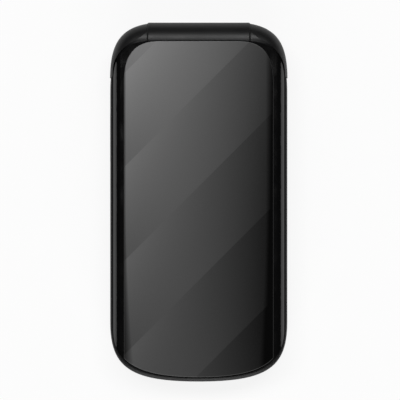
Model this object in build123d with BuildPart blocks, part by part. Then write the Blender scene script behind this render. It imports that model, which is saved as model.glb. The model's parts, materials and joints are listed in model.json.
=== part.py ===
from build123d import *
import os

# A clamshell mobile phone, closed and lying on its back.
# X runs across the phone, Y along it with the hinge at +Y, and Z up out of the lid.
# The origin is the middle of the back, on the surface that the phone lies on. Lengths are in mm.

# ---------------------------------------------------------------- base half
body_width = 52.0
body_length = 105.3
base_height = 10.4  # back to the keypad deck
split_height = 6.6  # back to the seam between the rear and front housings
wall = 1.6
deck_thickness = 1.4
back_round = 2.6
deck_round = 1.4
heel_setback = 3.2  # how far the lower body stops short of the hinge barrel

base_flat = 10.5  # half of the straight stretch of the hinge end
base_corner_pull = 14.0
base_shoulder_drop = 17.25  # hinge end to where the side runs straight
base_side_pull = 9.4
base_foot_rise = 17.35  # bowed end to where the side runs straight
base_foot_pull = 13.2
base_bow_pull = 20.2

# ---------------------------------------------------------------- hinge
barrel_radius = 5.0
barrel_length = 29.7
barrel_edge_round = 0.2
hinge_height = 11.7
seam_gap = 0.15  # between the barrel's ends and the knuckles
seat_clearance = 0.3  # between the barrel and the base under it
knuckle_clearance = 0.3  # between the lid and the knuckles that it turns past
ear_clearance = 0.3  # between the lid's sides and the ears beside them
ear_radius = 11.3  # reach of the ears from the hinge axis
ear_sweep = 0.82  # share of the knuckle's width before it flares into the ear
wing_rise = 5.2  # hinge axis to the top of the shoulders
wing_drop = 4.6  # hinge axis to their flat underside
wing_round = 5.0
barrel_bore = 3.4
barrel_web = 3.0  # solid middle of the barrel, between its two bores
pivot_clearance = 0.06
pin_depth = 4.6  # how far the hinge pins reach into the knuckles
flex_radius = 1.5
flex_thickness = 0.2
flex_tail_rise = 0.7  # hinge axis to the tail that leaves the barrel
flex_tail_start = 9.0
flex_tail_end = 3.0
flex_tail_reach = 4.0

# ---------------------------------------------------------------- lid
closed_gap = 0.5  # between the deck and the lid's inner face
lid_side_margin = 1.1  # how far the base stands out round the lid
lid_foot_margin = 1.5
lid_top_setback = 0.4  # hinge axis to the lid's hinge end
lid_floor_thickness = 1.2
lid_seam_rise = 2.3  # inner face to the seam between the lid's two shells
lid_frame_rise = 7.2  # inner face to the top of the frame round the panel
lid_wall = 1.4
lid_edge_width = 1.35  # rounded edge along each side, seen from above
lid_edge_drop = 1.65
lid_edge_out = 0.6  # share of that width, and of that drop, that its curve is pulled to
lid_edge_down = 0.38
lid_side_fall = 0.4  # panel's side to the top of that edge
lid_side_level = 0.5  # share of that way that the curve takes to leave the level
lid_side_turn = 0.22  # and to turn into the edge
lid_inner_round = 0.5
lid_roof_thickness = 1.25  # outer shell, under the panel

lid_flat = 9.05
lid_corner_pull = 7.75
lid_shoulder_drop = 11.55
lid_side_pull = 11.2
lid_foot_rise = 13.9
lid_foot_pull = 8.9
lid_bow_pull = 19.0

panel_seat_depth = 0.75  # how deep the panel sits in the frame
panel_edge_thickness = 0.85
panel_crown = 0.4
panel_edge_bevel = 0.15
panel_fit = 0.05
panel_side_margin = 3.1
panel_top_margin = 0.35
panel_foot_margin = 0.3  # lid's foot to the panel's, which runs out over it
panel_flat = 11.05
panel_corner_pull = 4.9
panel_shoulder_drop = 11.9
panel_side_pull = 10.75

# ---------------------------------------------------------------- display and lid contents
window_side_margin = 2.9
window_top_margin = 19.25
window_foot_margin = 13.15
window_corner = 2.5
window_thickness = 0.9
window_sink = 0.05
view_side_border = 3.0  # window's edge to the opening that the display shows through
view_end_border = 7.5
display_side_border = 1.0  # window's edge to the display behind it
display_end_border = 3.0
display_thickness = 2.4
lid_board_thickness = 0.8
earpiece_margin = 6.15
earpiece_width = 11.0
earpiece_length = 6.0
earpiece_thickness = 2.4
earpiece_slot_width = 10.0
earpiece_slot_length = 1.6
earpiece_mesh_thickness = 0.4
earpiece_mesh_border = 0.7
magnet_x = 13.0
magnet_size = 4.0
magnet_thickness = 1.6

bumper_side_margin = 3.6
bumper_foot_margin = 7.65
bumper_top_margin = 8.65
bumper_radius = 1.6
bumper_stand_off = 0.05  # bumper to deck when the lid is closed
bumper_seat_depth = 0.35
lid_screw_head_radius = 1.25
lid_screw_head_height = 0.7
lid_screw_radius = 0.6
lid_screw_length = 3.0
lid_boss_radius = 2.0

# ---------------------------------------------------------------- battery and back
cover_thickness = 0.9
cover_side_margin = 4.0
cover_top_margin = 25.65
cover_foot_margin = 6.25
cover_corner = 8.0
cover_fit = 0.1
cover_tab_width = 4.0
cover_tab_length = 3.0
cover_tab_thickness = 0.6
cover_tab_x = 12.0
bay_side_margin = 6.8
bay_top_margin = 42.85
bay_foot_margin = 18.25
bay_roof_thickness = 0.9
battery_fit = 0.15
battery_corner = 1.5
contact_width = 1.2
contact_height = 2.5
contact_pitch = 3.2
contact_reach = 1.0  # how far the contacts stand into the bay
rib = 2.6  # wall between the bay and the pockets beyond it
pocket_floor = 2.0
pocket_side_margin = 4.5
foot_pocket_side_margin = 9.0

# ---------------------------------------------------------------- board and parts on it
board_thickness = 0.8
board_edge_gap = 0.5
board_notch = 2.6  # half size of the notches that clear the screw bosses
sheet_thickness = 0.15
dome_height = 0.25
dome_radius = 2.3
shield_width = 30.0
shield_length = 11.0
shield_height = 1.8
shield_margin = 33.15
shield_wall = 0.25
sim_width = 15.0
sim_length = 13.0
sim_margin = 14.4  # foot of the bay to the middle of the card reader

camera_margin = 18.65
camera_size = 8.4
camera_lens_radius = 2.6
camera_window_radius = 4.2
camera_window_thickness = 0.6
speaker_x = 12.2
speaker_margin = 21.15
speaker_width = 13.0
speaker_length = 9.0
speaker_height = 3.4
slot_count = 5
slot_pitch = 2.0
slot_length = 7.0
slot_width = 0.9
motor_x = -7.6  # end of the motor nearest the camera
motor_margin = 19.15
motor_radius = 2.1
motor_length = 7.0
motor_shaft_radius = 0.4
weight_radius = 1.9
weight_length = 2.6
weight_gap = 0.3
motor_height = 4.5

jack_x = 11.0
jack_inset = 1.05  # bowed end of the base to the mouth of the jack
jack_height = 4.15
jack_bore = 1.8
jack_depth = 14.1
jack_nose_radius = 2.1
jack_nose_length = 2.3
jack_half_width = 2.9
jack_end_wall = 0.3
jack_fit = 0.1
usb_x = -5.0
usb_width = 7.6
usb_height = 2.6
usb_length = 5.6
usb_wall = 0.3
usb_fit = 0.1
usb_inset = 0.8
microphone_x = 0.0
microphone_margin = 8.15
microphone_size = 3.6
microphone_slot_length = 2.6
microphone_slot_width = 0.8
antenna_margin = 7.45
antenna_side_gap = 0.4
antenna_width = 6.4
antenna_length = 6.4
antenna_height = 3.4

# ---------------------------------------------------------------- volume rocker, in the left side
rocker_margin = 33.65
rocker_height = 4.5  # back to the middle of the rocker
rocker_length = 15.0
rocker_width = 2.4
rocker_thickness = 1.5
rocker_stand = 0.12
rocker_round = 0.35
rocker_clearance = 0.15
rocker_room = 0.45  # behind the rocker, for its ends to move into
rocker_pin_radius = 0.45
rocker_pin_reach = 0.5

# ---------------------------------------------------------------- screws
screw_side_margin = 6.0
screw_top_margin = 14.05
screw_foot_side_margin = 7.0
screw_foot_margin = 12.15
screw_head_radius = 1.3
screw_head_height = 1.1
screw_radius = 0.7
screw_length = 4.6
screw_fit = 0.12
screw_seat = 4.0  # back to the face that the heads pull on
boss_radius = 2.1
cap_thickness = 1.2

# ---------------------------------------------------------------- keypad
plate_side_margin = 2.7
plate_top_margin = 16.25
plate_foot_margin = 14.05
plate_corner = 4.0
plate_thickness = 0.78
plate_fit = 0.05
plate_ledge = 1.0
plate_sink = 0.02
key_clearance = 0.15
key_stand = 0.15  # key tops above the plate
key_flange = 0.3
key_flange_thickness = 0.5
key_flange_gap = 0.1
key_travel = 0.3
dome_margin = 0.05  # left between stem and dome when a key is pressed home
key_round = 0.4
stem_radius = 1.5
key_side_margin = 1.65  # edge of the plate to the number keys
key_foot_margin = 1.85
column_gap = 1.1
row_gap = 1.0
number_gap = 1.45  # direction ring to the number keys
key_corner = 2.4
side_key_margin = 1.9
nav_side_gap = 1.1  # direction ring to the keys beside it
side_key_length = 8.8
soft_key_margin = 7.0
call_key_margin = 17.8
nav_margin = 12.4
nav_inner = 5.1
nav_outer = 10.3
nav_gap = 1.3
nav_corner = 0.7
ok_radius = 4.1

# ---------------------------------------------------------------- places that follow from the sizes
half_width = body_width / 2
body_top = body_length / 2
body_bottom = -body_length / 2
heel_y = body_top - heel_setback
deck_under = base_height - deck_thickness
hinge_y = body_top - barrel_radius
cavity_top = hinge_y - barrel_radius - seat_clearance - wall
knuckle_start = barrel_length / 2 + seam_gap

lid_half_width = half_width - lid_side_margin
lid_top = hinge_y - lid_top_setback
lid_bottom = body_bottom + lid_foot_margin
lid_floor = base_height + closed_gap
lid_floor_top = lid_floor + lid_floor_thickness
lid_seam = lid_floor + lid_seam_rise
lid_frame_top = lid_floor + lid_frame_rise
panel_floor = lid_frame_top - panel_seat_depth
lid_roof = panel_floor - lid_roof_thickness
lid_cavity_top = hinge_y - barrel_radius - knuckle_clearance - lid_wall
panel_half_width = lid_half_width - panel_side_margin
panel_top = lid_top - panel_top_margin
lid_edge_x = lid_half_width - lid_edge_width
lid_edge_top = lid_frame_top - lid_side_fall
lid_fall_width = lid_edge_x - panel_half_width
lid_edge_slope = lid_edge_down * lid_edge_drop / (lid_edge_out * lid_edge_width)
lid_turn_width = lid_side_turn * lid_fall_width
ear_start = lid_half_width + ear_clearance

window_width = 2 * (lid_half_width - window_side_margin)
window_length = lid_top - window_top_margin - (lid_bottom + window_foot_margin)
display_y = (lid_top - window_top_margin + lid_bottom + window_foot_margin) / 2
view_width = window_width - 2 * view_side_border
view_length = window_length - 2 * view_end_border
display_width = window_width - 2 * display_side_border
display_length = window_length - 2 * display_end_border
earpiece_y = lid_bottom + earpiece_margin
bumper_x = lid_half_width - bumper_side_margin
bumper_foot_y = lid_bottom + bumper_foot_margin
bumper_top_y = lid_top - bumper_top_margin

cover_half_width = half_width - cover_side_margin
cover_top = body_top - cover_top_margin
cover_bottom = body_bottom + cover_foot_margin
bay_half_width = half_width - bay_side_margin
bay_top = body_top - bay_top_margin
bay_bottom = body_bottom + bay_foot_margin
pocket_half_width = half_width - pocket_side_margin
foot_pocket_half_width = half_width - foot_pocket_side_margin
screw_x = half_width - screw_side_margin
screw_top_y = body_top - screw_top_margin
screw_foot_x = half_width - screw_foot_side_margin
screw_foot_y = body_bottom + screw_foot_margin

shield_y = body_top - shield_margin
sim_y = bay_bottom + sim_margin
camera_y = body_top - camera_margin
speaker_y = body_top - speaker_margin
motor_y = body_top - motor_margin
rocker_y = body_top - rocker_margin
jack_mouth = body_bottom + jack_inset
usb_mouth = body_bottom + usb_inset
microphone_y = body_bottom + microphone_margin
antenna_x = -foot_pocket_half_width + antenna_side_gap + antenna_width / 2
antenna_y = body_bottom + antenna_margin

plate_half_width = half_width - plate_side_margin
plate_top = body_top - plate_top_margin
plate_bottom = body_bottom + plate_foot_margin
nav_y = plate_top - nav_margin
number_top = nav_y - nav_outer - number_gap
row_pitch = (number_top - plate_bottom - key_foot_margin + row_gap) / 4
column_pitch = (2 * (plate_half_width - key_side_margin) + column_gap) / 3
key_width = column_pitch - column_gap
key_length = row_pitch - row_gap
first_row_y = number_top - key_length / 2
side_key_width = plate_half_width - side_key_margin - nav_side_gap - nav_outer
side_key_x = plate_half_width - side_key_margin - side_key_width / 2
soft_key_y = plate_top - soft_key_margin
call_key_y = plate_top - call_key_margin

bay_roof = split_height - bay_roof_thickness
board_top = split_height + board_thickness
sheet_top = board_top + sheet_thickness
dome_top = sheet_top + dome_height
plate_face = base_height - plate_sink
plate_under = plate_face - plate_thickness
flange_top = plate_under - key_flange_gap
flange_under = flange_top - key_flange_thickness
stem_foot = dome_top + key_travel + dome_margin
key_top = plate_face + key_stand
upper_pocket_bottom = bay_top + rib
foot_pocket_top = bay_bottom - rib

hinge_plane = Plane(origin=(0, hinge_y, hinge_height), x_dir=(1, 0, 0), z_dir=(0, -1, 0))
hinge_section = Plane(origin=(0, hinge_y, hinge_height), x_dir=(0, 1, 0), z_dir=(1, 0, 0))
hinge_axis = Axis((0, hinge_y, hinge_height), (1, 0, 0))
rocker_plane = Plane(
    origin=(-half_width - rocker_stand, rocker_y, rocker_height), x_dir=(0, 1, 0), z_dir=(-1, 0, 0)
)
rocker_pivot = (-half_width - rocker_stand + rocker_thickness / 2, rocker_y)

upper_screws = [(-screw_x, screw_top_y), (screw_x, screw_top_y)]
foot_screws = [(-screw_foot_x, screw_foot_y), (screw_foot_x, screw_foot_y)]
lid_screw_places = [(side * bumper_x, y) for side in (-1, 1) for y in (bumper_foot_y, bumper_top_y)]

os.makedirs("parts", exist_ok=True)


# ---------------------------------------------------------------- shapes that several pieces share
def soft_outline(side, top, bottom, flat, corner_pull, drop, side_pull, rise, foot_pull, bow_pull):
    """A straight hinge end, soft corners, straight sides and a bowed lower end, alike left and right."""
    shoulder = top - drop
    ankle = bottom + rise
    with BuildSketch() as outline:
        with BuildLine():
            Bezier((flat, top), (flat + corner_pull, top), (side, shoulder + side_pull), (side, shoulder))
            Line((side, shoulder), (side, ankle))
            Bezier((side, ankle), (side, ankle - foot_pull), (bow_pull, bottom), (0, bottom))
            mirror(about=Plane.YZ)
            Line((-flat, top), (flat, top))
        make_face()
    return outline.sketch


def base_outline(top, inset=0.0):
    """The base's outline, up to a given hinge end, drawn in by a wall where asked."""
    return soft_outline(
        half_width - inset, top, body_bottom + inset, base_flat, base_corner_pull,
        base_shoulder_drop, base_side_pull, base_foot_rise, base_foot_pull, base_bow_pull,
    )


def lid_outline(inset=0.0):
    """The lid's outline, drawn in by a wall where asked."""
    return soft_outline(
        lid_half_width - inset, lid_top - inset, lid_bottom + inset, lid_flat, lid_corner_pull,
        lid_shoulder_drop, lid_side_pull, lid_foot_rise, lid_foot_pull, lid_bow_pull,
    )


def panel_outline(inset=0.0, foot=panel_foot_margin):
    """The glossy panel's outline: its own hinge end and sides, and the lid's foot, drawn in a little."""
    with BuildSketch() as outline:
        add(lid_outline(foot))
        with BuildLine():
            shoulder = panel_top - panel_shoulder_drop
            side = panel_half_width - inset
            top = panel_top - inset
            Bezier((panel_flat, top), (panel_flat + panel_corner_pull, top),
                   (side, shoulder + panel_side_pull), (side, shoulder))
            Polyline((side, shoulder), (side, body_bottom), (0, body_bottom))
            mirror(about=Plane.YZ)
            Line((-panel_flat, top), (panel_flat, top))
        make_face(mode=Mode.INTERSECT)
    return outline.sketch


def rectangle_between(left, right, bottom, top, mode=Mode.ADD):
    """A rectangle given by its four sides."""
    with Locations(((left + right) / 2, (bottom + top) / 2)):
        Rectangle(right - left, top - bottom, mode=mode)


def knuckle_profile(start, ear, radius, flare):
    """Half section of the surface that the lid turns past: level by the barrel, then flaring to the ear."""
    end = half_width + 1
    with BuildSketch() as profile:
        with BuildLine():
            Line((start, 0), (start, radius))
            Bezier((start, radius), (start + (ear - start) * ear_sweep, radius), (ear, radius), (ear, flare))
            Polyline((ear, flare), (end, flare), (end, 0), (start, 0))
        make_face()
        mirror(about=Plane.YZ)
    return profile.sketch


def shaft(start, end, radius, mode=Mode.ADD):
    """A round bar, or a round hole, along the hinge axis."""
    with BuildSketch(hinge_section.offset(start)) as section:
        Circle(radius)
    extrude(section.sketch, amount=end - start, mode=mode)


def clear_knuckles(start):
    """Cuts away what would meet the knuckles while the lid turns."""
    with BuildSketch(hinge_plane) as profile:
        add(knuckle_profile(
            start, lid_half_width, barrel_radius + knuckle_clearance, ear_radius + knuckle_clearance
        ))
    revolve(profile.sketch, axis=hinge_axis, mode=Mode.SUBTRACT)


def barrel_seat():
    """Cuts the hollow that the barrel turns in, open towards the hinge end."""
    radius = barrel_radius + seat_clearance
    with BuildSketch(hinge_section.offset(-knuckle_start)) as seat:
        with BuildLine():
            RadiusArc((-radius, 0), (0, -radius), -radius)
            Polyline(
                (0, -radius), (2 * radius, -radius), (2 * radius, radius), (-radius, radius), (-radius, 0)
            )
        make_face()
    extrude(seat.sketch, amount=2 * knuckle_start, mode=Mode.SUBTRACT)


def post(places, radius, bottom, top, mode=Mode.ADD):
    """Round posts, or round holes, that stand upright."""
    with BuildSketch(Plane.XY.offset(bottom)) as section:
        with Locations(*places):
            Circle(radius)
    extrude(section.sketch, amount=top - bottom, mode=mode)


def rocker_pins(grow=0.0, mode=Mode.ADD):
    """The pins that the volume rocker turns on, or the holes that they run in."""
    reach = rocker_width / 2 + rocker_pin_reach + grow
    post([rocker_pivot], rocker_pin_radius + grow, rocker_height - reach, rocker_height + reach, mode)


def save(piece, name):
    """Labels a finished piece and writes it."""
    piece.part.label = name
    export_step(piece.part, f"parts/{name}.step")


# ---------------------------------------------------------------- base housings
with BuildPart() as rear_housing:
    with BuildSketch():
        add(base_outline(heel_y))
    extrude(amount=split_height)
    fillet(rear_housing.edges().group_by(Axis.Z)[0], back_round)
    # recess for the battery cover, with slots for its tabs
    with BuildSketch():
        with Locations((0, (cover_top + cover_bottom) / 2)):
            RectangleRounded(
                2 * (cover_half_width + cover_fit), cover_top - cover_bottom + 2 * cover_fit,
                cover_corner + cover_fit,
            )
    extrude(amount=cover_thickness, mode=Mode.SUBTRACT)
    with BuildSketch(Plane.XY.offset(cover_thickness)):
        with Locations((-cover_tab_x, cover_top), (cover_tab_x, cover_top)):
            Rectangle(cover_tab_width + 2 * cover_fit, cover_tab_length + 2 * cover_fit)
    extrude(amount=cover_tab_thickness + cover_fit, mode=Mode.SUBTRACT)
    # battery bay, open at the back
    with BuildSketch():
        rectangle_between(-bay_half_width, bay_half_width, bay_bottom, bay_top)
    extrude(amount=bay_roof, mode=Mode.SUBTRACT)
    # pockets on the inside, beyond the bay at either end
    with BuildSketch(Plane.XY.offset(pocket_floor)):
        add(base_outline(heel_y, wall))
        rectangle_between(
            -pocket_half_width, pocket_half_width, upper_pocket_bottom, cavity_top, Mode.INTERSECT
        )
    extrude(amount=split_height - pocket_floor, mode=Mode.SUBTRACT)
    with BuildSketch(Plane.XY.offset(pocket_floor)):
        add(base_outline(heel_y, wall))
        rectangle_between(
            -foot_pocket_half_width, foot_pocket_half_width, body_bottom, foot_pocket_top, Mode.INTERSECT
        )
    extrude(amount=split_height - pocket_floor, mode=Mode.SUBTRACT)
    # slots for the battery contacts, and the window that the card reader fills
    with BuildSketch(Plane.XY.offset(split_height - contact_height)):
        with GridLocations(contact_pitch, 1, 3, 1):
            with Locations((0, bay_top + rib / 2)):
                Rectangle(contact_width + 2 * battery_fit, rib)
    extrude(amount=contact_height, mode=Mode.SUBTRACT)
    with BuildSketch(Plane.XY.offset(bay_roof)):
        with Locations((0, sim_y)):
            Rectangle(sim_width + 2 * battery_fit, sim_length + 2 * battery_fit)
    extrude(amount=bay_roof_thickness, mode=Mode.SUBTRACT)
    barrel_seat()
    # screw posts and their holes
    post(upper_screws, boss_radius, pocket_floor, split_height)
    post(upper_screws + foot_screws, screw_radius + screw_fit, 0, split_height, Mode.SUBTRACT)
    post(upper_screws + foot_screws, screw_head_radius + screw_fit, 0, screw_seat, Mode.SUBTRACT)
    # camera window, sound slots, and the mouths of the jack and the charging socket
    post([(0, camera_y)], camera_window_radius + cover_fit, 0, camera_window_thickness, Mode.SUBTRACT)
    post([(0, camera_y)], camera_lens_radius + cover_fit, 0, pocket_floor, Mode.SUBTRACT)
    with BuildSketch():
        with Locations((speaker_x, speaker_y)):
            with GridLocations(slot_pitch, 1, slot_count, 1):
                SlotOverall(slot_length, slot_width, rotation=90)
    extrude(amount=pocket_floor, mode=Mode.SUBTRACT)
    with BuildSketch(Plane.XZ.offset(-body_bottom)):
        with Locations((jack_x, jack_height)):
            Circle(jack_nose_radius + jack_fit)
        with Locations((usb_x, split_height - (usb_height + usb_fit) / 2)):
            Rectangle(usb_width + 2 * usb_fit, usb_height + usb_fit)
    extrude(amount=-3 * wall, mode=Mode.SUBTRACT)
    # pocket and pivot holes of the volume rocker
    with BuildSketch(rocker_plane):
        SlotOverall(rocker_length + 2 * rocker_clearance, rocker_width + 2 * rocker_clearance)
    extrude(amount=-rocker_thickness - rocker_room, mode=Mode.SUBTRACT)
    rocker_pins(pivot_clearance, Mode.SUBTRACT)
save(rear_housing, "rear_housing")

with BuildPart() as knuckles:
    with BuildSketch(Plane.XY.offset(hinge_height - wing_drop)):
        add(base_outline(body_top))
    extrude(amount=wing_drop + wing_rise)
    fillet(knuckles.edges().group_by(Axis.Z)[-1], wing_round)
    with BuildSketch(hinge_plane) as knuckle_section:
        add(knuckle_profile(knuckle_start, ear_start, barrel_radius, ear_radius))
        fillet(
            knuckle_section.vertices().filter_by_position(Axis.Y, barrel_radius - 0.01, barrel_radius + 0.01),
            barrel_edge_round,
        )
    revolve(axis=hinge_axis, mode=Mode.INTERSECT)

with BuildPart() as front_housing:
    with BuildSketch(Plane.XY.offset(split_height)):
        add(base_outline(heel_y))
    extrude(amount=base_height - split_height)
    fillet(front_housing.edges().group_by(Axis.Z)[-1], deck_round)
    barrel_seat()
    add(knuckles.part)
    # room for the board under the deck
    with BuildSketch(Plane.XY.offset(split_height)):
        add(base_outline(heel_y, wall))
        rectangle_between(-half_width, half_width, body_bottom, cavity_top, Mode.INTERSECT)
    extrude(amount=deck_under - split_height, mode=Mode.SUBTRACT)
    # opening for the keys, with a ledge that carries the keypad plate
    with BuildSketch(Plane.XY.offset(plate_under)):
        with Locations((0, (plate_top + plate_bottom) / 2)):
            RectangleRounded(
                2 * (plate_half_width + plate_fit), plate_top - plate_bottom + 2 * plate_fit,
                plate_corner + plate_fit,
            )
    extrude(amount=base_height - plate_under, mode=Mode.SUBTRACT)
    with BuildSketch(Plane.XY.offset(deck_under)):
        with Locations((0, (plate_top + plate_bottom) / 2)):
            RectangleRounded(
                2 * (plate_half_width - plate_ledge), plate_top - plate_bottom - 2 * plate_ledge,
                plate_corner - plate_ledge,
            )
    extrude(amount=deck_thickness, mode=Mode.SUBTRACT)
    # sound slot of the microphone
    with BuildSketch(Plane.XY.offset(deck_under)):
        with Locations((microphone_x, microphone_y)):
            SlotOverall(microphone_slot_length, microphone_slot_width)
    extrude(amount=deck_thickness, mode=Mode.SUBTRACT)
    # screw posts, and the blind bores of the hinge pins
    post(upper_screws + foot_screws, boss_radius, split_height, deck_under)
    post(
        upper_screws + foot_screws, screw_radius, split_height,
        screw_seat + screw_length + screw_fit, Mode.SUBTRACT,
    )
    shaft(-knuckle_start - pin_depth, -knuckle_start, barrel_bore - pivot_clearance, Mode.SUBTRACT)
    shaft(knuckle_start, knuckle_start + pin_depth, barrel_bore - pivot_clearance, Mode.SUBTRACT)
save(front_housing, "front_housing")

with BuildPart() as volume_rocker:
    with BuildSketch(rocker_plane):
        SlotOverall(rocker_length, rocker_width)
    extrude(amount=-rocker_thickness)
    fillet(volume_rocker.edges().group_by(Axis.X)[0], rocker_round)
    rocker_pins()
save(volume_rocker, "volume_rocker")

# ---------------------------------------------------------------- battery, cover and screws
with BuildPart() as battery_cover:
    with BuildSketch():
        with Locations((0, (cover_top + cover_bottom) / 2)):
            RectangleRounded(2 * cover_half_width, cover_top - cover_bottom, cover_corner)
    extrude(amount=cover_thickness)
    with BuildSketch(Plane.XY.offset(cover_thickness)):
        with Locations((-cover_tab_x, cover_top), (cover_tab_x, cover_top)):
            Rectangle(cover_tab_width, cover_tab_length)
    extrude(amount=cover_tab_thickness)
save(battery_cover, "battery_cover")

battery_bottom_y = bay_bottom + battery_fit
battery_top_y = bay_top - contact_reach
with BuildPart() as battery:
    with BuildSketch(Plane.XY.offset(cover_thickness)):
        with Locations((0, (battery_top_y + battery_bottom_y) / 2)):
            RectangleRounded(
                2 * (bay_half_width - battery_fit), battery_top_y - battery_bottom_y, battery_corner
            )
    extrude(amount=bay_roof - cover_thickness)
save(battery, "battery")

with BuildPart() as battery_contacts:
    with BuildSketch(Plane.XY.offset(split_height - contact_height)):
        with GridLocations(contact_pitch, 1, 3, 1):
            with Locations((0, (battery_top_y + upper_pocket_bottom) / 2)):
                Rectangle(contact_width, upper_pocket_bottom - battery_top_y)
    extrude(amount=contact_height)
    # the tips in the bay end below its roof
    with BuildSketch(Plane.XY.offset(bay_roof)):
        rectangle_between(-half_width, half_width, battery_top_y, bay_top)
    extrude(amount=bay_roof_thickness, mode=Mode.SUBTRACT)
save(battery_contacts, "battery_contacts")

with BuildPart() as base_screws:
    post(upper_screws + foot_screws, screw_radius, screw_seat, screw_seat + screw_length)
    post(upper_screws + foot_screws, screw_head_radius, screw_seat - screw_head_height, screw_seat)
save(base_screws, "base_screws")

with BuildPart() as screw_caps:
    post(upper_screws, screw_head_radius + screw_fit, 0, cap_thickness)
    fillet(screw_caps.edges().group_by(Axis.Z)[0], screw_fit)
save(screw_caps, "screw_caps")

# ---------------------------------------------------------------- main board and what it carries
screw_corners = [
    (x + (board_notch if x > 0 else -board_notch), y) for x, y in upper_screws + foot_screws
]
with BuildPart() as main_board:
    with BuildSketch(Plane.XY.offset(split_height)):
        add(base_outline(heel_y, wall + board_edge_gap))
        rectangle_between(-half_width, half_width, body_bottom, cavity_top - board_edge_gap, Mode.INTERSECT)
        with Locations(*screw_corners):
            Rectangle(4 * board_notch, 2 * board_notch, mode=Mode.SUBTRACT)
    extrude(amount=board_thickness)
save(main_board, "main_board")

with BuildPart() as shield_can:
    with BuildSketch(Plane.XY.offset(split_height - shield_height)):
        with Locations((0, shield_y)):
            RectangleRounded(shield_width, shield_length, 2 * shield_wall)
    extrude(amount=shield_height)
    with BuildSketch(Plane.XY.offset(split_height - shield_height + shield_wall)):
        with Locations((0, shield_y)):
            Rectangle(shield_width - 2 * shield_wall, shield_length - 2 * shield_wall)
    extrude(amount=shield_height - shield_wall, mode=Mode.SUBTRACT)
save(shield_can, "shield_can")

with BuildPart() as sim_reader:
    with BuildSketch(Plane.XY.offset(bay_roof)):
        with Locations((0, sim_y)):
            Rectangle(sim_width, sim_length)
    extrude(amount=bay_roof_thickness)
save(sim_reader, "sim_reader")

with BuildPart() as camera_module:
    with BuildSketch(Plane.XY.offset(pocket_floor)):
        with Locations((0, camera_y)):
            Rectangle(camera_size, camera_size)
    extrude(amount=split_height - pocket_floor)
    post([(0, camera_y)], camera_lens_radius, camera_window_thickness, pocket_floor)
save(camera_module, "camera_module")

with BuildPart() as camera_window:
    post([(0, camera_y)], camera_window_radius, 0, camera_window_thickness)
save(camera_window, "camera_window")

with BuildPart() as loudspeaker:
    with BuildSketch(Plane.XY.offset(pocket_floor)):
        with Locations((speaker_x, speaker_y)):
            RectangleRounded(speaker_width, speaker_length, 2)
    extrude(amount=speaker_height)
save(loudspeaker, "loudspeaker")

motor_end = motor_x - motor_length
motor_plane = Plane(origin=(motor_x, motor_y, motor_height), x_dir=(0, 1, 0), z_dir=(-1, 0, 0))
with BuildPart() as vibration_motor:
    with BuildSketch(motor_plane):
        Circle(motor_radius)
    extrude(amount=motor_length)
    with BuildSketch(motor_plane.offset(motor_length)):
        Circle(motor_shaft_radius)
    extrude(amount=weight_gap + weight_length)
    # the cradle glues the can to the pocket's floor
    with BuildSketch(Plane.XY.offset(pocket_floor)):
        rectangle_between(motor_end, motor_x, motor_y - motor_radius / 2, motor_y + motor_radius / 2)
    extrude(amount=motor_height - pocket_floor)
save(vibration_motor, "vibration_motor")

with BuildPart() as vibration_weight:
    with BuildSketch(motor_plane.offset(motor_length + weight_gap)):
        Circle(weight_radius)
        with Locations((0, -weight_radius)):
            Rectangle(2 * weight_radius, 2 * weight_radius - motor_radius / 2, mode=Mode.SUBTRACT)
        Circle(motor_shaft_radius + 2 * pivot_clearance + 0.3)
        Circle(motor_shaft_radius + pivot_clearance, mode=Mode.SUBTRACT)
    extrude(amount=weight_length)
save(vibration_weight, "vibration_weight")

jack_plane = Plane(origin=(jack_x, jack_mouth, jack_height), x_dir=(1, 0, 0), z_dir=(0, 1, 0))
with BuildPart() as headset_jack:
    with BuildSketch(jack_plane):
        Circle(jack_nose_radius)
    extrude(amount=jack_nose_length + 1)
    with BuildSketch(Plane.XY.offset(pocket_floor)):
        rectangle_between(
            jack_x - jack_half_width, jack_x + jack_half_width,
            jack_mouth + jack_nose_length, jack_mouth + jack_depth + jack_end_wall,
        )
    extrude(amount=split_height - pocket_floor)
    with BuildSketch(jack_plane):
        Circle(jack_bore)
    extrude(amount=jack_depth, mode=Mode.SUBTRACT)
save(headset_jack, "headset_jack")

with BuildPart() as usb_connector:
    with BuildSketch(Plane.XY.offset(split_height - usb_height)):
        rectangle_between(usb_x - usb_width / 2, usb_x + usb_width / 2, usb_mouth, usb_mouth + usb_length)
    extrude(amount=usb_height)
    with BuildSketch(Plane.XY.offset(split_height - usb_height + usb_wall)):
        rectangle_between(
            usb_x - usb_width / 2 + usb_wall, usb_x + usb_width / 2 - usb_wall,
            usb_mouth, usb_mouth + usb_length - usb_wall,
        )
    extrude(amount=usb_height - 2 * usb_wall, mode=Mode.SUBTRACT)
    # contact tongue
    with BuildSketch(Plane.XY.offset(split_height - usb_height / 2)):
        rectangle_between(
            usb_x - usb_width / 4, usb_x + usb_width / 4,
            usb_mouth + usb_wall, usb_mouth + usb_length - usb_wall,
        )
    extrude(amount=2 * usb_wall)
save(usb_connector, "usb_connector")

with BuildPart() as microphone:
    with BuildSketch(Plane.XY.offset(board_top)):
        with Locations((microphone_x, microphone_y)):
            Rectangle(microphone_size, microphone_size)
    extrude(amount=deck_under - board_top)
save(microphone, "microphone")

with BuildPart() as antenna:
    with BuildSketch(Plane.XY.offset(split_height - antenna_height)):
        with Locations((antenna_x, antenna_y)):
            RectangleRounded(antenna_width, antenna_length, 1)
    extrude(amount=antenna_height)
save(antenna, "antenna")


# ---------------------------------------------------------------- keypad
def pad_shape(x, y, width, length, grow):
    """A rounded rectangular key."""
    with Locations((x, y)):
        RectangleRounded(width + 2 * grow, length + 2 * grow, key_corner + grow)


def ok_shape(grow):
    """The round key in the middle of the ring."""
    with Locations((0, nav_y)):
        Circle(ok_radius + grow)


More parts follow.
